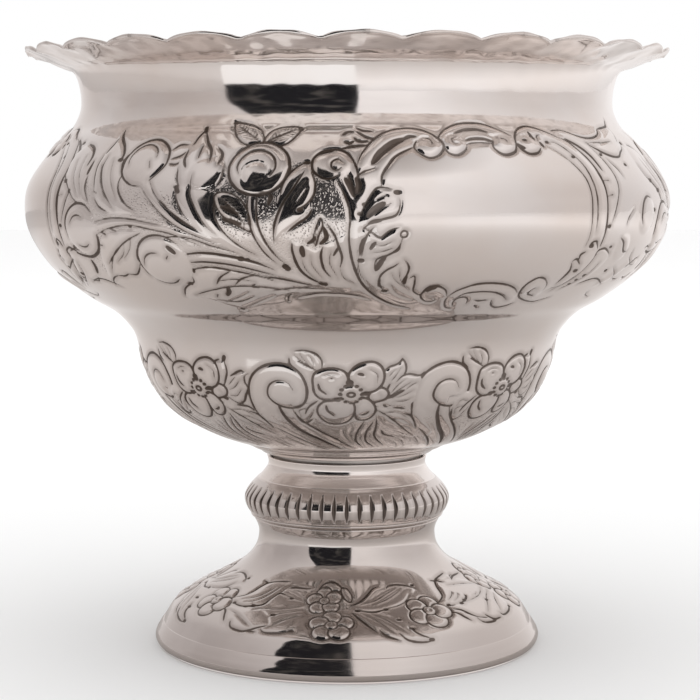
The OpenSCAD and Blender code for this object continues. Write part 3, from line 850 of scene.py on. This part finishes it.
def foot_leaves(s):
    """The long toothed leaves between the flowers of the foot."""
    s.dome([(1, -2), (6, 1), (11, 6), (17, 10), (27, 10.5), (37, 7), (30, 1), (22, -3), (10, -5)], 0.6, 5)
    s.dome([(2, -6), (6, -12), (11, -18), (19, -23), (29, -24), (25, -17), (21, -11), (12, -6)], 0.6, 5)
    s.dome([(-18, -1), (-26, 6), (-36, 8), (-47, 7), (-42, 0), (-32, -4)], 0.5, 4)
    s.dome([(-16, -4), (-30, -5), (-46, -7), (-54, -9), (-46, -16), (-38, -20), (-28, -20),
            (-20, -18)], 0.6, 5)
    s.dome([(43, -4), (50, 2), (54, 9), (62, 11.5), (70, 9), (65, 2), (60, -5), (52, -7.5)], 0.55, 4)
    s.dome([(43, -10), (50, -17), (56, -20.5), (64, -20), (71, -16), (66, -9), (56, -8)], 0.55, 4)
    s.lines(
        1.1, [(1, -2), (6, 1), (10, 5), (14, 9), (18, 10)],
        [(21, 8), (23, 10), (28, 10.5), (34, 9), (38, 6)], [(5, -4.5), (11, -5.7), (17, -4.5)],
        [(2, -6), (5, -10), (8, -14), (11, -18)], [(11.5, -16), (14, -20), (19, -23)],
        [(18.5, -19), (21, -22.5), (25, -24), (29, -24.3)], [(23, -15), (25.5, -20), (30, -23)],
        [(43, -4), (48, -1), (50, 2), (51.5, 6), (54, 9), (58, 10.5), (64, 11.5), (68, 12)],
        [(46, -6.5), (52, -7.5), (58, -6), (62, -4), (64, 0), (66, 4), (70, 3.5)],
        [(43, -10), (47, -12), (49, -15), (51, -18)],
        [(54, -17), (56, -20), (61, -21), (64, -20), (68, -17.5), (71, -16)],
        [(-54, -9), (-50, -11), (-46, -16), (-41, -18.5)], [(-41, -16.5), (-38, -20), (-33, -20.5)],
        [(-32, -18.5), (-30, -20), (-24, -19.5), (-20, -18)], [(-34, 7), (-28, 8.7), (-18, 8.5)],
        [(-50, 10), (-46, 9), (-41, 7)],
    )
    s.lines(
        0.5, [(17, -4), (23, -2.5), (28, 0), (32, 4)], [(6, -1.5), (13, 1), (20, 5), (27, 8)],
        [(12, -2), (20, 2), (29, 7)], [(6, -7), (12, -12), (18, -20)], [(10, -7.5), (16, -12), (23, -21)],
        [(-20, -3), (-30, -6), (-44, -7)], [(-19, -6), (-28, -9), (-38, -16)],
        [(-18, -9), (-24, -12), (-30, -18)], [(-20, 0), (-30, 3), (-42, 5)], [(49, -4), (56, 0), (62, 7)],
        [(52, -5), (58, -2), (65, 8)], [(48, -11), (55, -13), (64, -18)], [(66, 4), (69, 9), (74, 10)],
        [(60, -8), (66, -6), (72, -4)],
    )
    s.dots(1.9, (37, 9), (4.5, -4.7), (17, -4.5), (20.5, -11.5), (30, -23.5), (-20, -18), (-46, -7.2),
           (47, -6.5), (58, -5.8), (24, -17), (74, 1.5), (-30, -10))


def foot_unit(s, x):
    """One repeat of the foot's garland: two roses, a bud, a daisy and the leaves that join them."""
    s.shift = x
    foot_leaves(s)
    s.dome([(-14, 7.5), (-13, 11.5), (-9, 13.3), (-5, 12), (-2.5, 8)], 0.6, 3, 1.1)
    s.dome([(-3, 9), (0, 9.5), (2.5, 5), (2, 1), (-1, 3)], 0.5, 3, 0.9)
    small_rose(s, -10.5, 1.5, 7.8, 100)
    small_rose(s, -5.8, -13.8, 8, 20)
    small_rose(s, 35.5, -8, 9.2, 62)


def outer_line(name):
    """The outside of a turned CAD node as (r, z) in mm, from its lowest point to its highest."""
    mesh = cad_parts[name].data
    place = np.empty(len(mesh.vertices) * 3)
    facing = np.empty(len(mesh.vertices) * 3)
    mesh.vertices.foreach_get("co", place)
    mesh.vertex_normals.foreach_get("vector", facing)
    place, facing = place.reshape(-1, 3) / MM, facing.reshape(-1, 3)
    r = np.hypot(place[:, 0], place[:, 1])
    outward = (facing[:, 0] * place[:, 0] + facing[:, 1] * place[:, 1]) / np.maximum(r, 0.1)
    seams = (facing[:, 2] < STRAIGHT_DOWN) & (r > SEAM_R)
    lobes = (place[:, 2] > place[:, 2].max() - LOBE_CUT_TALL) & (r > r.max() - LOBE_CUT_WIDE)
    kept = (outward > 0.2 * facing[:, 2]) & ~seams & ~lobes
    left = sorted(set(zip(np.round(place[kept, 2], 2), np.round(r[kept], 2))))
    left = [(b, a) for a, b in left]
    line = [left.pop(0)]
    while left:
        nearest = min(left, key=lambda p: math.dist(p, line[-1]))
        left.remove(nearest)
        line.append(nearest)
    return np.array(line)


def even(line, step):
    """A line resampled at even steps along a curve through its points, and eased over some 3 mm."""
    fine = smooth(line, steps=8)
    run = run_along(fine)
    at = np.linspace(0, run[-1], round(run[-1] / step) + 1)
    line = np.stack([np.interp(at, run, fine[:, k]) for k in (0, 1)], -1)
    for _ in range(max(1, round(3 / step))):
        line[1:-1] = (line[:-2] + 2 * line[1:-1] + line[2:]) / 4
    return line


def sides(line):
    """The direction out of the wall at each point of a line that runs upwards along its outside."""
    along = np.gradient(line, axis=0)
    along /= np.hypot(*along.T)[:, None]
    return np.stack([along[:, 1], -along[:, 0]], -1)


class Skin:
    """A turned mesh built ring by ring. Each ring has its own count of points."""

    def __init__(self):
        self.places, self.faces, self.corners = [], [], []
        self.ink, self.matted = [], []
        self.count = 0
        self.first = self.last = None

    def band(self, rings, shelf, wraps=1):
        """Adds rings of (N, 3) places with their ink and matting, and joins them to the last one.

        shelf is the lowest and highest v that the band takes in the UV map, split into wraps
        islands, each of which covers its share of the way round.
        """
        low, high = shelf
        tall = (high - low) / wraps
        levels = len(rings)
        for k, (places, ink, matted) in enumerate(rings):
            ring = self.count, len(places)
            self.places.append(places)
            self.ink.append(ink)
            self.matted.append(matted)
            self.count += len(places)
            if self.last is None:
                self.first = ring
            else:
                shares = (SHELF_GAP + (1 - 2 * SHELF_GAP) * (k + step) / levels for step in (0, 1))
                v = [low + tall * share for share in shares]
                self.join(self.last, ring, v, wraps, tall)
            self.last = ring

    def join(self, lower, upper, v, wraps, tall):
        """Faces between two rings: quads if they have the same count, triangles if not."""
        (a, n), (b, m) = lower, upper
        if n == m:
            i = np.arange(n)
            j = (i + 1) % n
            faces = np.stack([a + i, a + j, b + j, b + i], -1)
            u = np.stack([i, i + 1, i + 1, i], -1) / n
            height = np.broadcast_to([v[0], v[0], v[1], v[1]], u.shape)
            self.add(faces, u, height, wraps, tall)
            return
        faces, u, height = [], [], []
        i = j = 0
        while i < n or j < m:
            if j == m or (i < n and (i + 1) / n <= (j + 1) / m):
                faces.append((a + i, a + (i + 1) % n, b + j % m))
                u.append((i / n, (i + 1) / n, j / m))
                height.append((v[0], v[0], v[1]))
                i += 1
            else:
                faces.append((a + i % n, b + (j + 1) % m, b + j))
                u.append((i / n, (j + 1) / m, j / m))
                height.append((v[0], v[1], v[1]))
                j += 1
        self.add(np.array(faces), np.array(u), np.array(height), wraps, tall)

    def add(self, faces, u, v, wraps, tall):
        """Faces with their places in the UV map."""
        island = np.clip((u.mean(1) * wraps).astype(int), 0, wraps - 1)[:, None]
        spread = ISLAND_GAP + (1 - 2 * ISLAND_GAP) * (u * wraps - island)
        self.faces.append(faces)
        self.corners.append(np.stack([spread, v + island * tall], -1))

    def close(self):
        """Closes the first and the last ring with one face each."""
        for (start, n), step in ((self.first, -1), (self.last, 1)):
            self.faces.append(np.arange(start, start + n)[None, ::step])
            self.corners.append(np.full((1, n, 2), 0.5))

    def piece(self, name, material, *replaced):
        """The finished object, riding on the frame."""
        mesh = bpy.data.meshes.new(name)
        places = np.concatenate(self.places) * MM
        sizes = np.concatenate([np.full(len(f), f.shape[1]) for f in self.faces])
        corners = np.concatenate([f.ravel() for f in self.faces])
        mesh.vertices.add(len(places))
        mesh.vertices.foreach_set("co", places.ravel())
        mesh.loops.add(len(corners))
        mesh.loops.foreach_set("vertex_index", corners.astype(np.int32))
        mesh.polygons.add(len(sizes))
        starts = np.concatenate([[0], np.cumsum(sizes)[:-1]])
        mesh.polygons.foreach_set("loop_start", starts.astype(np.int32))
        mesh.polygons.foreach_set("loop_total", sizes.astype(np.int32))
        mesh.polygons.foreach_set("use_smooth", np.ones(len(sizes), bool))
        uv = mesh.uv_layers.new(name="OFBake")
        uv.data.foreach_set("uv", np.concatenate([c.reshape(-1, 2) for c in self.corners]).ravel())
        for label, values in (("ink", self.ink), ("matted", self.matted)):
            layer = mesh.attributes.new(label, "FLOAT", "POINT")
            layer.data.foreach_set("value", np.concatenate(values).astype(np.float32))
        mesh.update()
        mesh.validate()
        mesh.materials.append(material)
        obj = bpy.data.objects.new(name, mesh)
        bpy.context.scene.collection.objects.link(obj)
        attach(obj, "root")
        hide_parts(*replaced)


def way_round(points):
    """The angles of the points of a ring."""
    return np.arange(points) * 2 * math.pi / points


def round_places(r, z, angle):
    """Places on a ring. The angle is 0 at the front and grows towards +X."""
    return np.stack([r * np.sin(angle), -r * np.cos(angle), z + 0 * angle], -1)


def ripple(angle, up, seed):
    """A slight unevenness that closes round the axis, from -1 to 1 or so."""
    draw = np.random.default_rng(seed)
    total = 0
    for _ in range(RIPPLE_WAVES):
        turns, rise, phase = draw.integers(3, 26), draw.uniform(-0.12, 0.12), draw.uniform(0, 6.3)
        total = total + np.sin(turns * angle + rise * up + phase)
    return total / 4


def rim_wave(r, z, angle, line_z):
    """The rim's lobes: how far a place moves in and down in the hollows and up on the crests."""
    grow = np.where(line_z > NECK_Z, np.clip((r - LOBE_START_R) / (RIM_R - LOBE_START_R), 0, 1.1) ** 2, 0)
    crest = np.abs(np.sin(LOBES / 2 * (angle - LOBE_TURN))) ** 0.7
    r = r - grow * LOBE_DEPTH * (1 - crest)
    z = z + grow * ((LOBE_RISE + LOBE_DROP) * crest - LOBE_DROP)
    return r, z


def wall_ring(point, out, points, strip=None, y=0.0, inner=False):
    """One ring of a chased wall, as places, ink and matting."""
    line_r, line_z = point
    angle = way_round(points)
    lift = RIPPLE * ripple(angle, line_z, WALL_SEED)
    if line_z > NECK_Z:
        grow = np.clip((line_r - FLANGE_R) / 8, 0, 1)
        lift = lift + RIM_RIPPLE * grow * ripple(3 * angle, line_r * 2, RIM_SEED)
    ink, matted = np.full(points, -NO_INK), np.zeros(points)
    if line_z > FLANGE_Z:
        ink = -1.0 + 0.95 * np.clip(ripple(5 * angle, line_r * 12, STAIN_SEED), 0, 1)
    if strip is not None and inner:
        lift = lift + strip.read(strip.inside, angle, y)
    elif strip is not None:
        lift = lift + strip.read(strip.raised, angle, y) - strip.read(strip.cut, angle, y)
        ink = strip.read(strip.ink, angle, y)
        matted = strip.read(strip.matted, angle, y)
    r, z = rim_wave(line_r + lift * out[0], line_z + lift * out[1], angle, line_z)
    return round_places(r, z, angle), ink, matted


def height_at(line, run, z):
    """How far along a rising line the height z is."""
    return float(np.interp(z, line[:, 1], run))


def chased_bowl(belly, band):
    """The bowl as one sheet: its chased outside, the lobed rim and the inside."""
    line = np.vstack([outer_line("bowl_body"), [RIM_R, RIM_Z]])
    rows = even(line, BOWL_ROW)
    out, run = sides(rows), run_along(rows)
    out[0] = (0, -1)
    belly_run, band_run = (height_at(rows, run, z) for z in (BELLY_ZERO, BAND_ZERO))
    skin = Skin()

    def wall(k, points, inner=False):
        """One ring of either chased wall."""
        sheet = SHEET if inner else 0
        on, zero = (belly, belly_run) if run[k] > belly_run + belly.low else (band, band_run)
        return wall_ring(rows[k] - sheet * out[k], out[k], points, on, run[k] - zero, inner)

    def between(low_z, high_z, every=1):
        """The rows of the outside from one height to another."""
        return range(np.searchsorted(rows[:, 1], low_z), np.searchsorted(rows[:, 1], high_z), every)

    def bottom(sheet):
        """The flat middle of the bowl, from near the axis out to the lower chased wall."""
        for k in (np.searchsorted(rows[:, 0], r) for r in BOTTOM_RADII):
            yield wall_ring(rows[k] - sheet * out[k], out[k], BOTTOM_POINTS)

    skin.band(list(bottom(0)), (0.0, 0.02))
    skin.band([wall(k, BAND_POINTS) for k in between(BAND_LOW_Z, BAND_TOP)], (0.02, 0.32), wraps=2)
    skin.band([wall(k, BELLY_POINTS) for k in between(BAND_TOP + 0.3, BELLY_TOP)], (0.32, 0.82), wraps=2)
    neck = [wall_ring(rows[k], out[k], PLAIN_POINTS) for k in between(BELLY_TOP + 0.5, RIM_Z - 0.05, 3)]
    edge = rows[-1] - SHEET / 2 * out[-1]
    for turn in range(0, 181, 30):
        a = math.radians(turn)
        way = math.cos(a) * out[-1] + math.sin(a) * np.array([-out[-1][1], out[-1][0]])
        neck.append(wall_ring(edge + RIM_EDGE * way, way, PLAIN_POINTS))
    skin.band(neck, (0.82, 0.88))
    downwards = range(len(rows) - 4, 0, -4)
    above_bottom = [k for k in downwards if rows[k, 0] >= BOTTOM_R or rows[k, 1] >= BOTTOM_Z]
    skin.band([wall(k, PLAIN_POINTS, inner=True) for k in above_bottom], (0.88, 0.98))
    skin.band(list(bottom(SHEET))[::-1], (0.98, 1.0))
    skin.close()
    skin.piece("chased_bowl", CHASED_SILVER, "bowl_body")


def chased_foot(garland):
    """The domed foot as one sheet, chased outside."""
    rows = even(outer_line("foot_dome"), FOOT_ROW)
    out, run = sides(rows), run_along(rows)
    y = run - height_at(rows, run, FOOT_ZERO)
    count = len(rows)
    outside = [wall_ring(rows[k], out[k], FOOT_POINTS, garland, y[k]) for k in range(count)]
    inside = [
        wall_ring(rows[k] - SHEET * out[k], out[k], FOOT_INSIDE_POINTS, garland, y[k], inner=True)
        for k in range(count - 1, -1, -4)
    ]
    skin = Skin()
    skin.band(outside, (0.0, 0.8), wraps=2)
    skin.band(inside, (0.8, 0.97))
    skin.band(outside[:1], (0.97, 1.0))
    skin.piece("chased_foot", CHASED_SILVER, "foot_dome")


def turned(name, outline, points, replaced, shape=None, material=None):
    """A closed outline turned about the axis. shape moves each ring and inks it, if it is given."""
    skin = Skin()
    angle = way_round(points)
    plain = np.full(points, -NO_INK), np.zeros(points)
    rings = []
    for r, z in list(outline) + [outline[0]]:
        rings.append(shape(r, z, angle) if shape else (round_places(r, z, angle), *plain))
    skin.band(rings, (0.0, 1.0))
    skin.piece(name, material or SMOOTH_SILVER, replaced)


def corner(points, ease=0.25):
    """An outline whose corners are eased, so that each edge catches the light."""
    p = np.asarray(points, float)
    out = []
    for before, here, after in zip(np.roll(p, 1, axis=0), p, np.roll(p, -1, axis=0)):
        for other in (before, after):
            gap = math.dist(other, here)
            out.append(here + (other - here) * min(ease, gap * 0.4) / max(gap, 1e-6))
    return out


def size_of(name):
    """A turned CAD node's greatest radius, lowest and highest z, in mm."""
    low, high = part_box(name)
    return high.x / MM, low.z / MM, high.z / MM


def stem_collar():
    """The soft moulding in the angle under the bowl."""
    r, low, high = size_of("collar_ring")
    outline = [(34.6, low - 0.4), (r - 8.5, low - 0.4), (r - 7.7, low + 0.4), (r - 6.4, low + 1.1)]
    outline += [(r - 4.8, low + 1.7), (r - 3.6, low + 2.3), (r - 2.9, low + 3.1), (r - 1.4, low + 3.4)]
    outline += [(r - 0.4, low + 3.8), (r - 0.6, high - 0.1), (42, 88.3), (38, 87.3), (34.4, 86.5)]
    turned("stem_collar", smooth(outline, closed=True, steps=2), SPUN_POINTS, "collar_ring")


def spool():
    """The waisted top of the stem."""
    rows = even(outer_line("upper_stem"), STEM_ROW)
    inner = (rows - SHEET * sides(rows))[::-1]
    outline = corner(np.concatenate([rows, inner]), 0.1)
    turned("stem", outline, SPUN_POINTS, "upper_stem", material=STEM_SILVER)


def knop():
    """The fluted knop: rounded ribs with a dark groove between each two."""
    r, low, high = size_of("fluted_knop")
    side = [(r - 2.8, low), (r - 1, low + 2.5), (r, low + 6), (r - 0.4, low + 8.7), (r - 3, low + 12.5)]
    rows = even(smooth(side + [(r - 5.5, high), (r - 5.8, high + 0.35)], steps=6), KNOP_ROW)
    middle, tall = low + FLUTE_MIDDLE, FLUTE_TALL / 2

    def flute(r, z, angle):
        along = 1 - ((z - middle) / tall) ** 2
        rib = angle * FLUTES / (2 * math.pi) % 1
        gap = np.minimum(rib, 1 - rib) * 2 * math.pi * r / FLUTES
        if along <= 0 or r < KNOP_INSIDE_R:
            return round_places(r, z, angle), 0 * angle - NO_INK, 0 * angle
        half = FLUTE_GAP / 2 * along
        sink = FLUTE_DEEP * along**0.6 * np.clip(1 - gap / FLUTE_EASE, 0, 1) ** 1.4
        return round_places(r - sink, z, angle), half - gap, 0 * angle

    inner = [(r - KNOP_WALL, z) for r, z in rows[::-3]]
    outline = corner(np.concatenate([rows, inner]), 0.1)
    turned("knop", outline, FLUTES * FLUTE_POINTS, "fluted_knop", shape=flute)


def seam_wire():
    """The drawn wire under the knop."""
    r, low, high = size_of("knop_wire")
    outline = [(r - 3.2, high), (r - 0.5, high), (r - 0.2, high - 0.3), (r - 0.4, high - 0.9)]
    outline += [(r - 1.1, low + 0.7), (r - 1.7, low + 0.2), (r - 2.1, low), (r - 3.2, low)]
    turned("seam_wire", corner(outline, 0.12), SPUN_POINTS, "knop_wire")


def edge_moulding():
    """The foot's applied edge: one soft swelling, widest low down."""
    r, low, high = size_of("foot_edge_moulding")
    side = [(r - 2.6, low), (r - 1.2, low + 0.9), (r - 0.3, low + 2.1), (r, low + 3.6), (r - 0.5, low + 5.3)]
    outline = list(smooth(side + [(r - 1.5, low + 7), (r - 2.5, low + 8.6), (r - 3.5, high)], steps=5))
    outline += [(r - 5.6, high), (r - 5.6, low)]
    turned("foot_moulding", corner(outline, 0.1), EDGE_POINTS, "foot_edge_moulding")


def belly_strip():
    """The shields and sprays round the belly."""
    strip = Strip(*BELLY_STRIP)
    for shift, filled in UNIT_PLACES:
        belly_unit(strip, shift, filled)
    return strip.finish()


def band_strip():
    """The flowers and scrolls round the lower bowl, each a little off its even place."""
    strip = Strip(*BAND_STRIP)
    draw = np.random.default_rng(BAND_SEED)
    for k in range(BAND_REPEATS):
        at = k * 2 * math.pi * strip.radius / BAND_REPEATS + draw.uniform(-1, 1)
        lower_unit(strip, at, k % 2 == 1)
    return strip.finish()


def foot_strip():
    """The garland round the foot."""
    strip = Strip(*FOOT_STRIP)
    for k in range(FOOT_REPEATS):
        foot_unit(strip, k * 2 * math.pi * strip.radius / FOOT_REPEATS)
    return strip.finish()


def set_or_link(tree, socket, value):
    """Links a socket to another, or sets it to a plain value or an RGB colour."""
    if isinstance(value, bpy.types.NodeSocket):
        tree.links.new(value, socket)
    elif socket.type == "RGBA":
        socket.default_value = (*value, 1)
    else:
        socket.default_value = value


def node(tree, kind, inputs=None, **settings):
    """A shader node with its inputs set or linked."""
    made = tree.nodes.new(kind)
    for key, value in settings.items():
        setattr(made, key, value)
    for key, value in (inputs or {}).items():
        set_or_link(tree, made.inputs[key], value)
    return made


def math_node(tree, operation, a, b):
    """The result of an operation on two values or sockets."""
    return node(tree, "ShaderNodeMath", {0: a, 1: b}, operation=operation).outputs[0]


def times(tree, a, b):
    """The product of two values or sockets."""
    return math_node(tree, "MULTIPLY", a, b)


def plus(tree, a, b):
    """The sum of two values or sockets."""
    return math_node(tree, "ADD", a, b)


def mixed(tree, factor, a, b):
    """A colour between a and b."""
    return node(tree, "ShaderNodeMix", {"Factor": factor, 6: a, 7: b}, data_type="RGBA").outputs[2]


def remapped(tree, value, start, end, to_start=0.0, to_end=1.0):
    """A value stretched from one range to another, and held at its ends."""
    inputs = {"Value": value, 1: start, 2: end, 3: to_start, 4: to_end}
    return node(tree, "ShaderNodeMapRange", inputs).outputs[0]


def noise(tree, place, scale, detail):
    """A soft random pattern."""
    inputs = {"Vector": place, "Scale": scale, "Detail": detail}
    return node(tree, "ShaderNodeTexNoise", inputs).outputs["Fac"]


def object_place(tree):
    """The place that is shaded, from the foot's middle, in metres."""
    return node(tree, "ShaderNodeTexCoord").outputs["Object"]


def glossy_depth(tree):
    """How many times the light path has been mirrored: 2 or more for silver seen in silver."""
    return node(tree, "ShaderNodeLightPath").outputs["Glossy Depth"]


def principled(name, **values):
    """A new material with its node tree and shader, and some of the shader's values set."""
    material = bpy.data.materials.new(name)
    material.use_nodes = True
    shader = material.node_tree.nodes["Principled BSDF"]
    for key, value in values.items():
        shader.inputs[key.replace("_", " ")].default_value = value
    return material, material.node_tree, shader


def silver(name, bright, rough, chased=False, low_shade=0.75):
    """Polished silver with a soft bloom of wear, fine scratches and, where chased, dark lines and a painted
    shade that deepens towards the foot.
    """
    material, tree, shader = principled(name, Metallic=1.0)
    place = object_place(tree)
    cloud = noise(tree, place, CLOUD_SCALE, 4)
    fine = noise(tree, place, FINE_SCALE, 5)
    upright = node(tree, "ShaderNodeMapping", {"Vector": place, "Scale": (1, 1, 9)}).outputs[0]
    hair = noise(tree, upright, HAIR_SCALE, 3)
    warm = tuple(c * k for c, k in zip(bright, WARMER))
    colour = mixed(tree, remapped(tree, cloud, 0.35, 0.7), bright, warm)
    roughness = remapped(tree, cloud, 0.3, 0.75, rough, rough + 0.07)
    roughness = plus(tree, roughness, remapped(tree, hair, 0.5, 0.8, 0.0, 0.05))
    bumps = plus(tree, times(tree, fine, 0.10), times(tree, hair, 0.05))
    if chased:
        up = node(tree, "ShaderNodeSeparateXYZ", {0: place}).outputs["Z"]
        # painted shade: the colour darkens towards the foot, where the silver mirrors the shadowed table
        colour = mixed(tree, remapped(tree, up, LOW_SHADE_TOP, LOW_SHADE_FOOT, 0.0, low_shade), colour, LOW_SHADE)
        ink = node(tree, "ShaderNodeAttribute", attribute_name="ink").outputs["Fac"]
        matted = node(tree, "ShaderNodeAttribute", attribute_name="matted").outputs["Fac"]
        ragged = plus(tree, ink, remapped(tree, fine, 0.3, 0.7, -0.09, 0.09))
        dark = times(tree, remapped(tree, ragged, -0.10, 0.16), remapped(tree, cloud, 0.3, 0.6, 0.78, 1.0))
        beside = remapped(tree, ink, -1.8, 0.1, 0.0, 0.34)
        beside = times(tree, beside, remapped(tree, cloud, 0.3, 0.7, 0.6, 1.2))
        punches = node(tree, "ShaderNodeTexVoronoi", {"Vector": place, "Scale": PUNCH_SCALE})
        punches = punches.outputs["Distance"]
        pits = times(tree, remapped(tree, punches, 0.0, 0.42), matted)
        shade = times(tree, remapped(tree, punches, 0.5, 0.15), matted)
        grime = math_node(tree, "MAXIMUM", beside, times(tree, shade, 0.35))
        colour = mixed(tree, grime, colour, GRIME)
        colour = mixed(tree, dark, colour, PATINA)
        roughness = plus(tree, roughness, times(tree, dark, 0.35))
        roughness = plus(tree, roughness, times(tree, matted, 0.08))
        bumps = plus(tree, bumps, times(tree, pits, 3.5))
    bump = node(tree, "ShaderNodeBump", {"Height": bumps, "Strength": 0.35, "Distance": 0.15 * MM})
    set_or_link(tree, shader.inputs["Base Color"], colour)
    set_or_link(tree, shader.inputs["Roughness"], roughness)
    set_or_link(tree, shader.inputs["Normal"], bump.outputs[0])
    return material


def away_from_axis(tree):
    """How far a place on the floor is from the middle of the bowl, in metres."""
    return node(tree, "ShaderNodeVectorMath", {0: object_place(tree)}, operation="LENGTH").outputs["Value"]


def plain_floor(name, near, far):
    """Matt stuff that is one colour round the object and eases to another further out."""
    material, tree, shader = principled(name, Roughness=0.9, Specular_IOR_Level=0.1)
    inputs = {"Value": away_from_axis(tree), 1: 0.2, 2: 1.1}
    spread = node(tree, "ShaderNodeMapRange", inputs, interpolation_type="SMOOTHSTEP").outputs[0]
    set_or_link(tree, shader.inputs["Base Color"], mixed(tree, spread, near, far))
    return material


def table_top():
    """The table as silver sees it: greyer under the bowl, a painted shadow, and off to the left, a painted
    shade.
    """
    material = plain_floor("table_top", TABLE_SHADOW, TABLE_FAR)
    tree = material.node_tree
    base = tree.nodes["Principled BSDF"].inputs["Base Color"]
    across = node(tree, "ShaderNodeSeparateXYZ", {0: object_place(tree)}).outputs["X"]
    # painted shade: the table greyer off to the left, away from the light
    left = remapped(tree, across, -0.15, -0.9, 0.0, 0.9)
    colour = mixed(tree, left, base.links[0].from_socket, TABLE_SHADE_LEFT)
    # painted shadow: where silver is seen in silver, the table is darker near the bowl
    near = remapped(tree, away_from_axis(tree), 0.45, 0.25)
    again = times(tree, remapped(tree, glossy_depth(tree), 1.0, 2.0, 0.0, 0.45), near)
    set_or_link(tree, base, mixed(tree, again, colour, TABLE_SHADOW_AGAIN))
    return material


def dark_cloth():
    """Black cloth, paler where one reflection is seen in another."""
    material, tree, shader = principled("dark_cloth", Roughness=1.0, Specular_IOR_Level=0.0)
    folds = noise(tree, object_place(tree), 2.5, 4)
    colour = mixed(tree, remapped(tree, folds, 0.52, 0.7), DARK_COLOUR, DARK_FOLD)
    colour = mixed(tree, remapped(tree, glossy_depth(tree), 1.0, 2.0), colour, DARK_AGAIN)
    set_or_link(tree, shader.inputs["Base Color"], colour)
    return material


def flat_mesh(name, places, faces, material):
    """Part of the studio, from its corners and faces."""
    mesh = bpy.data.meshes.new(name)
    mesh.from_pydata(places, [], faces)
    mesh.materials.append(material)
    obj = bpy.data.objects.new(name, mesh)
    bpy.context.scene.collection.objects.link(obj)
    return obj


def level_square(name, z, material):
    """A large square at a height."""
    corners = [(x * FLOOR_HALF, y * FLOOR_HALF, z) for x, y in ((-1, -1), (1, -1), (1, 1), (-1, 1))]
    return flat_mesh(name, corners, [(0, 1, 2, 3)], material)


def only_reflected(obj):
    """Hides an object from everything but the silver."""
    obj.visible_camera = False
    obj.visible_shadow = False
    obj.visible_diffuse = False


def reflected_fan(name, outline, material):
    """Part of a turned shape, over DARK_TURN in front of the bowl, that only shows in the silver."""
    low, high = (math.radians(a) for a in DARK_TURN)
    steps, across = 24, len(outline)
    places, faces = [], []
    for k in range(steps + 1):
        a = low + (high - low) * k / steps
        places += [(r * math.sin(a), -r * math.cos(a), z) for r, z in outline]
    for k in range(steps):
        for at in range(across * k, across * (k + 1) - 1):
            faces.append((at, at + 1, at + across + 1, at + across))
    only_reflected(flat_mesh(name, places, faces, material))


def soft_light(name, place, aim, size, power):
    """A soft box at a place, in metres, that faces an aim point and isn't mirrored in the silver."""
    light = bpy.data.lights.new(name, "AREA")
    light.shape = "RECTANGLE"
    light.size, light.size_y = size
    light.energy = power
    obj = bpy.data.objects.new(name, light)
    bpy.context.scene.collection.objects.link(obj)
    obj.location = place
    obj.rotation_euler = (Vector(aim) - Vector(place)).to_track_quat("-Z", "Y").to_euler()
    obj.visible_glossy = False


def surround():
    """The world: white round the picture and, as the silver sees it, a tent with soft folds."""
    world = bpy.data.worlds.new("surround")
    bpy.context.scene.world = world
    world.use_nodes = True
    tree = world.node_tree
    way = node(tree, "ShaderNodeTexCoord").outputs["Generated"]
    split = node(tree, "ShaderNodeSeparateXYZ", {0: way}).outputs
    tent = mixed(tree, remapped(tree, split["X"], -0.95, 0.05), TENT_LEFT, TENT_MIDDLE)
    tent = mixed(tree, remapped(tree, split["X"], 0.45, 0.97), tent, TENT_RIGHT)
    tent = mixed(tree, remapped(tree, split["Z"], 0.84, 0.98, 0.0, 0.9), tent, TENT_TOP)
    tent = mixed(tree, remapped(tree, noise(tree, way, 1.6, 3), 0.45, 0.75, 0.0, 0.4), tent, TENT_FOLD)
    tent = mixed(tree, remapped(tree, glossy_depth(tree), 1.0, 2.0, 0.0, 0.5), tent, TENT_AGAIN)
    mirrored = node(tree, "ShaderNodeLightPath").outputs["Is Glossy Ray"]
    colour = mixed(tree, mirrored, WHITE, tent)
    set_or_link(tree, tree.nodes["Background"].inputs["Color"], colour)


def studio():
    """A pale floor, a white surround, soft boxes, and the dark side of the room that silver shows."""
    # the floor carries a painted shadow, greyer round the foot
    floor = level_square("floor", 0, plain_floor("pale_floor", FLOOR_SHADOW, FLOOR_FAR))
    floor.visible_glossy = False
    only_reflected(level_square("table_top", TABLE_Z, table_top()))
    white = plain_floor("white_card", WHITE_CARD, WHITE_CARD)
    reflected_fan("table_card", [(CARD_START, CARD_Z), (TABLE_EDGE, CARD_Z)], white)
    dark_side = [(TABLE_EDGE, CARD_Z), (DARK_R, CARD_Z), (DARK_R, DARK_TOP)]
    reflected_fan("dark_room", dark_side, dark_cloth())
    soft_light("light_above", place=(0.0, -0.2, 2.4), aim=(0, 0, 0.15), size=(2.6, 2.2), power=15)
    soft_light("light_right", place=(1.9, -1.5, 1.1), aim=(0, 0, 0.2), size=(1.1, 1.9), power=2)
    surround()
    bpy.context.scene.view_settings.view_transform = "Standard"


def camera():
    """Straight on, a little above the bowl and looking slightly down."""
    lens = bpy.data.cameras.new("camera")
    lens.lens = CAMERA_LENS
    obj = bpy.data.objects.new("camera", lens)
    obj.location = CAMERA_PLACE
    obj.rotation_euler = (CAMERA_PITCH, 0, 0)
    bpy.context.scene.collection.objects.link(obj)
    bpy.context.scene.camera = obj


camera()
studio()
CHASED_SILVER = silver("chased_silver", BRIGHT, 0.055, chased=True)
SMOOTH_SILVER = silver("smooth_silver", BRIGHT, 0.06, chased=True)
STEM_SILVER = silver("stem_silver", STEM_BRIGHT, 0.09, chased=True, low_shade=0.0)
SHADED_SILVER = silver("dull_silver", SHADED, 0.34)
chased_bowl(belly_strip(), band_strip())
stem_collar()
spool()
knop()
seam_wire()
chased_foot(foot_strip())
edge_moulding()
# the seat ring and the foot's base wire get the rougher silver with painted shade
for hidden in ("seat_ring", "foot_base_wire"):
    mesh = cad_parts[hidden].data
    mesh.materials.clear()
    mesh.materials.append(SHADED_SILVER)
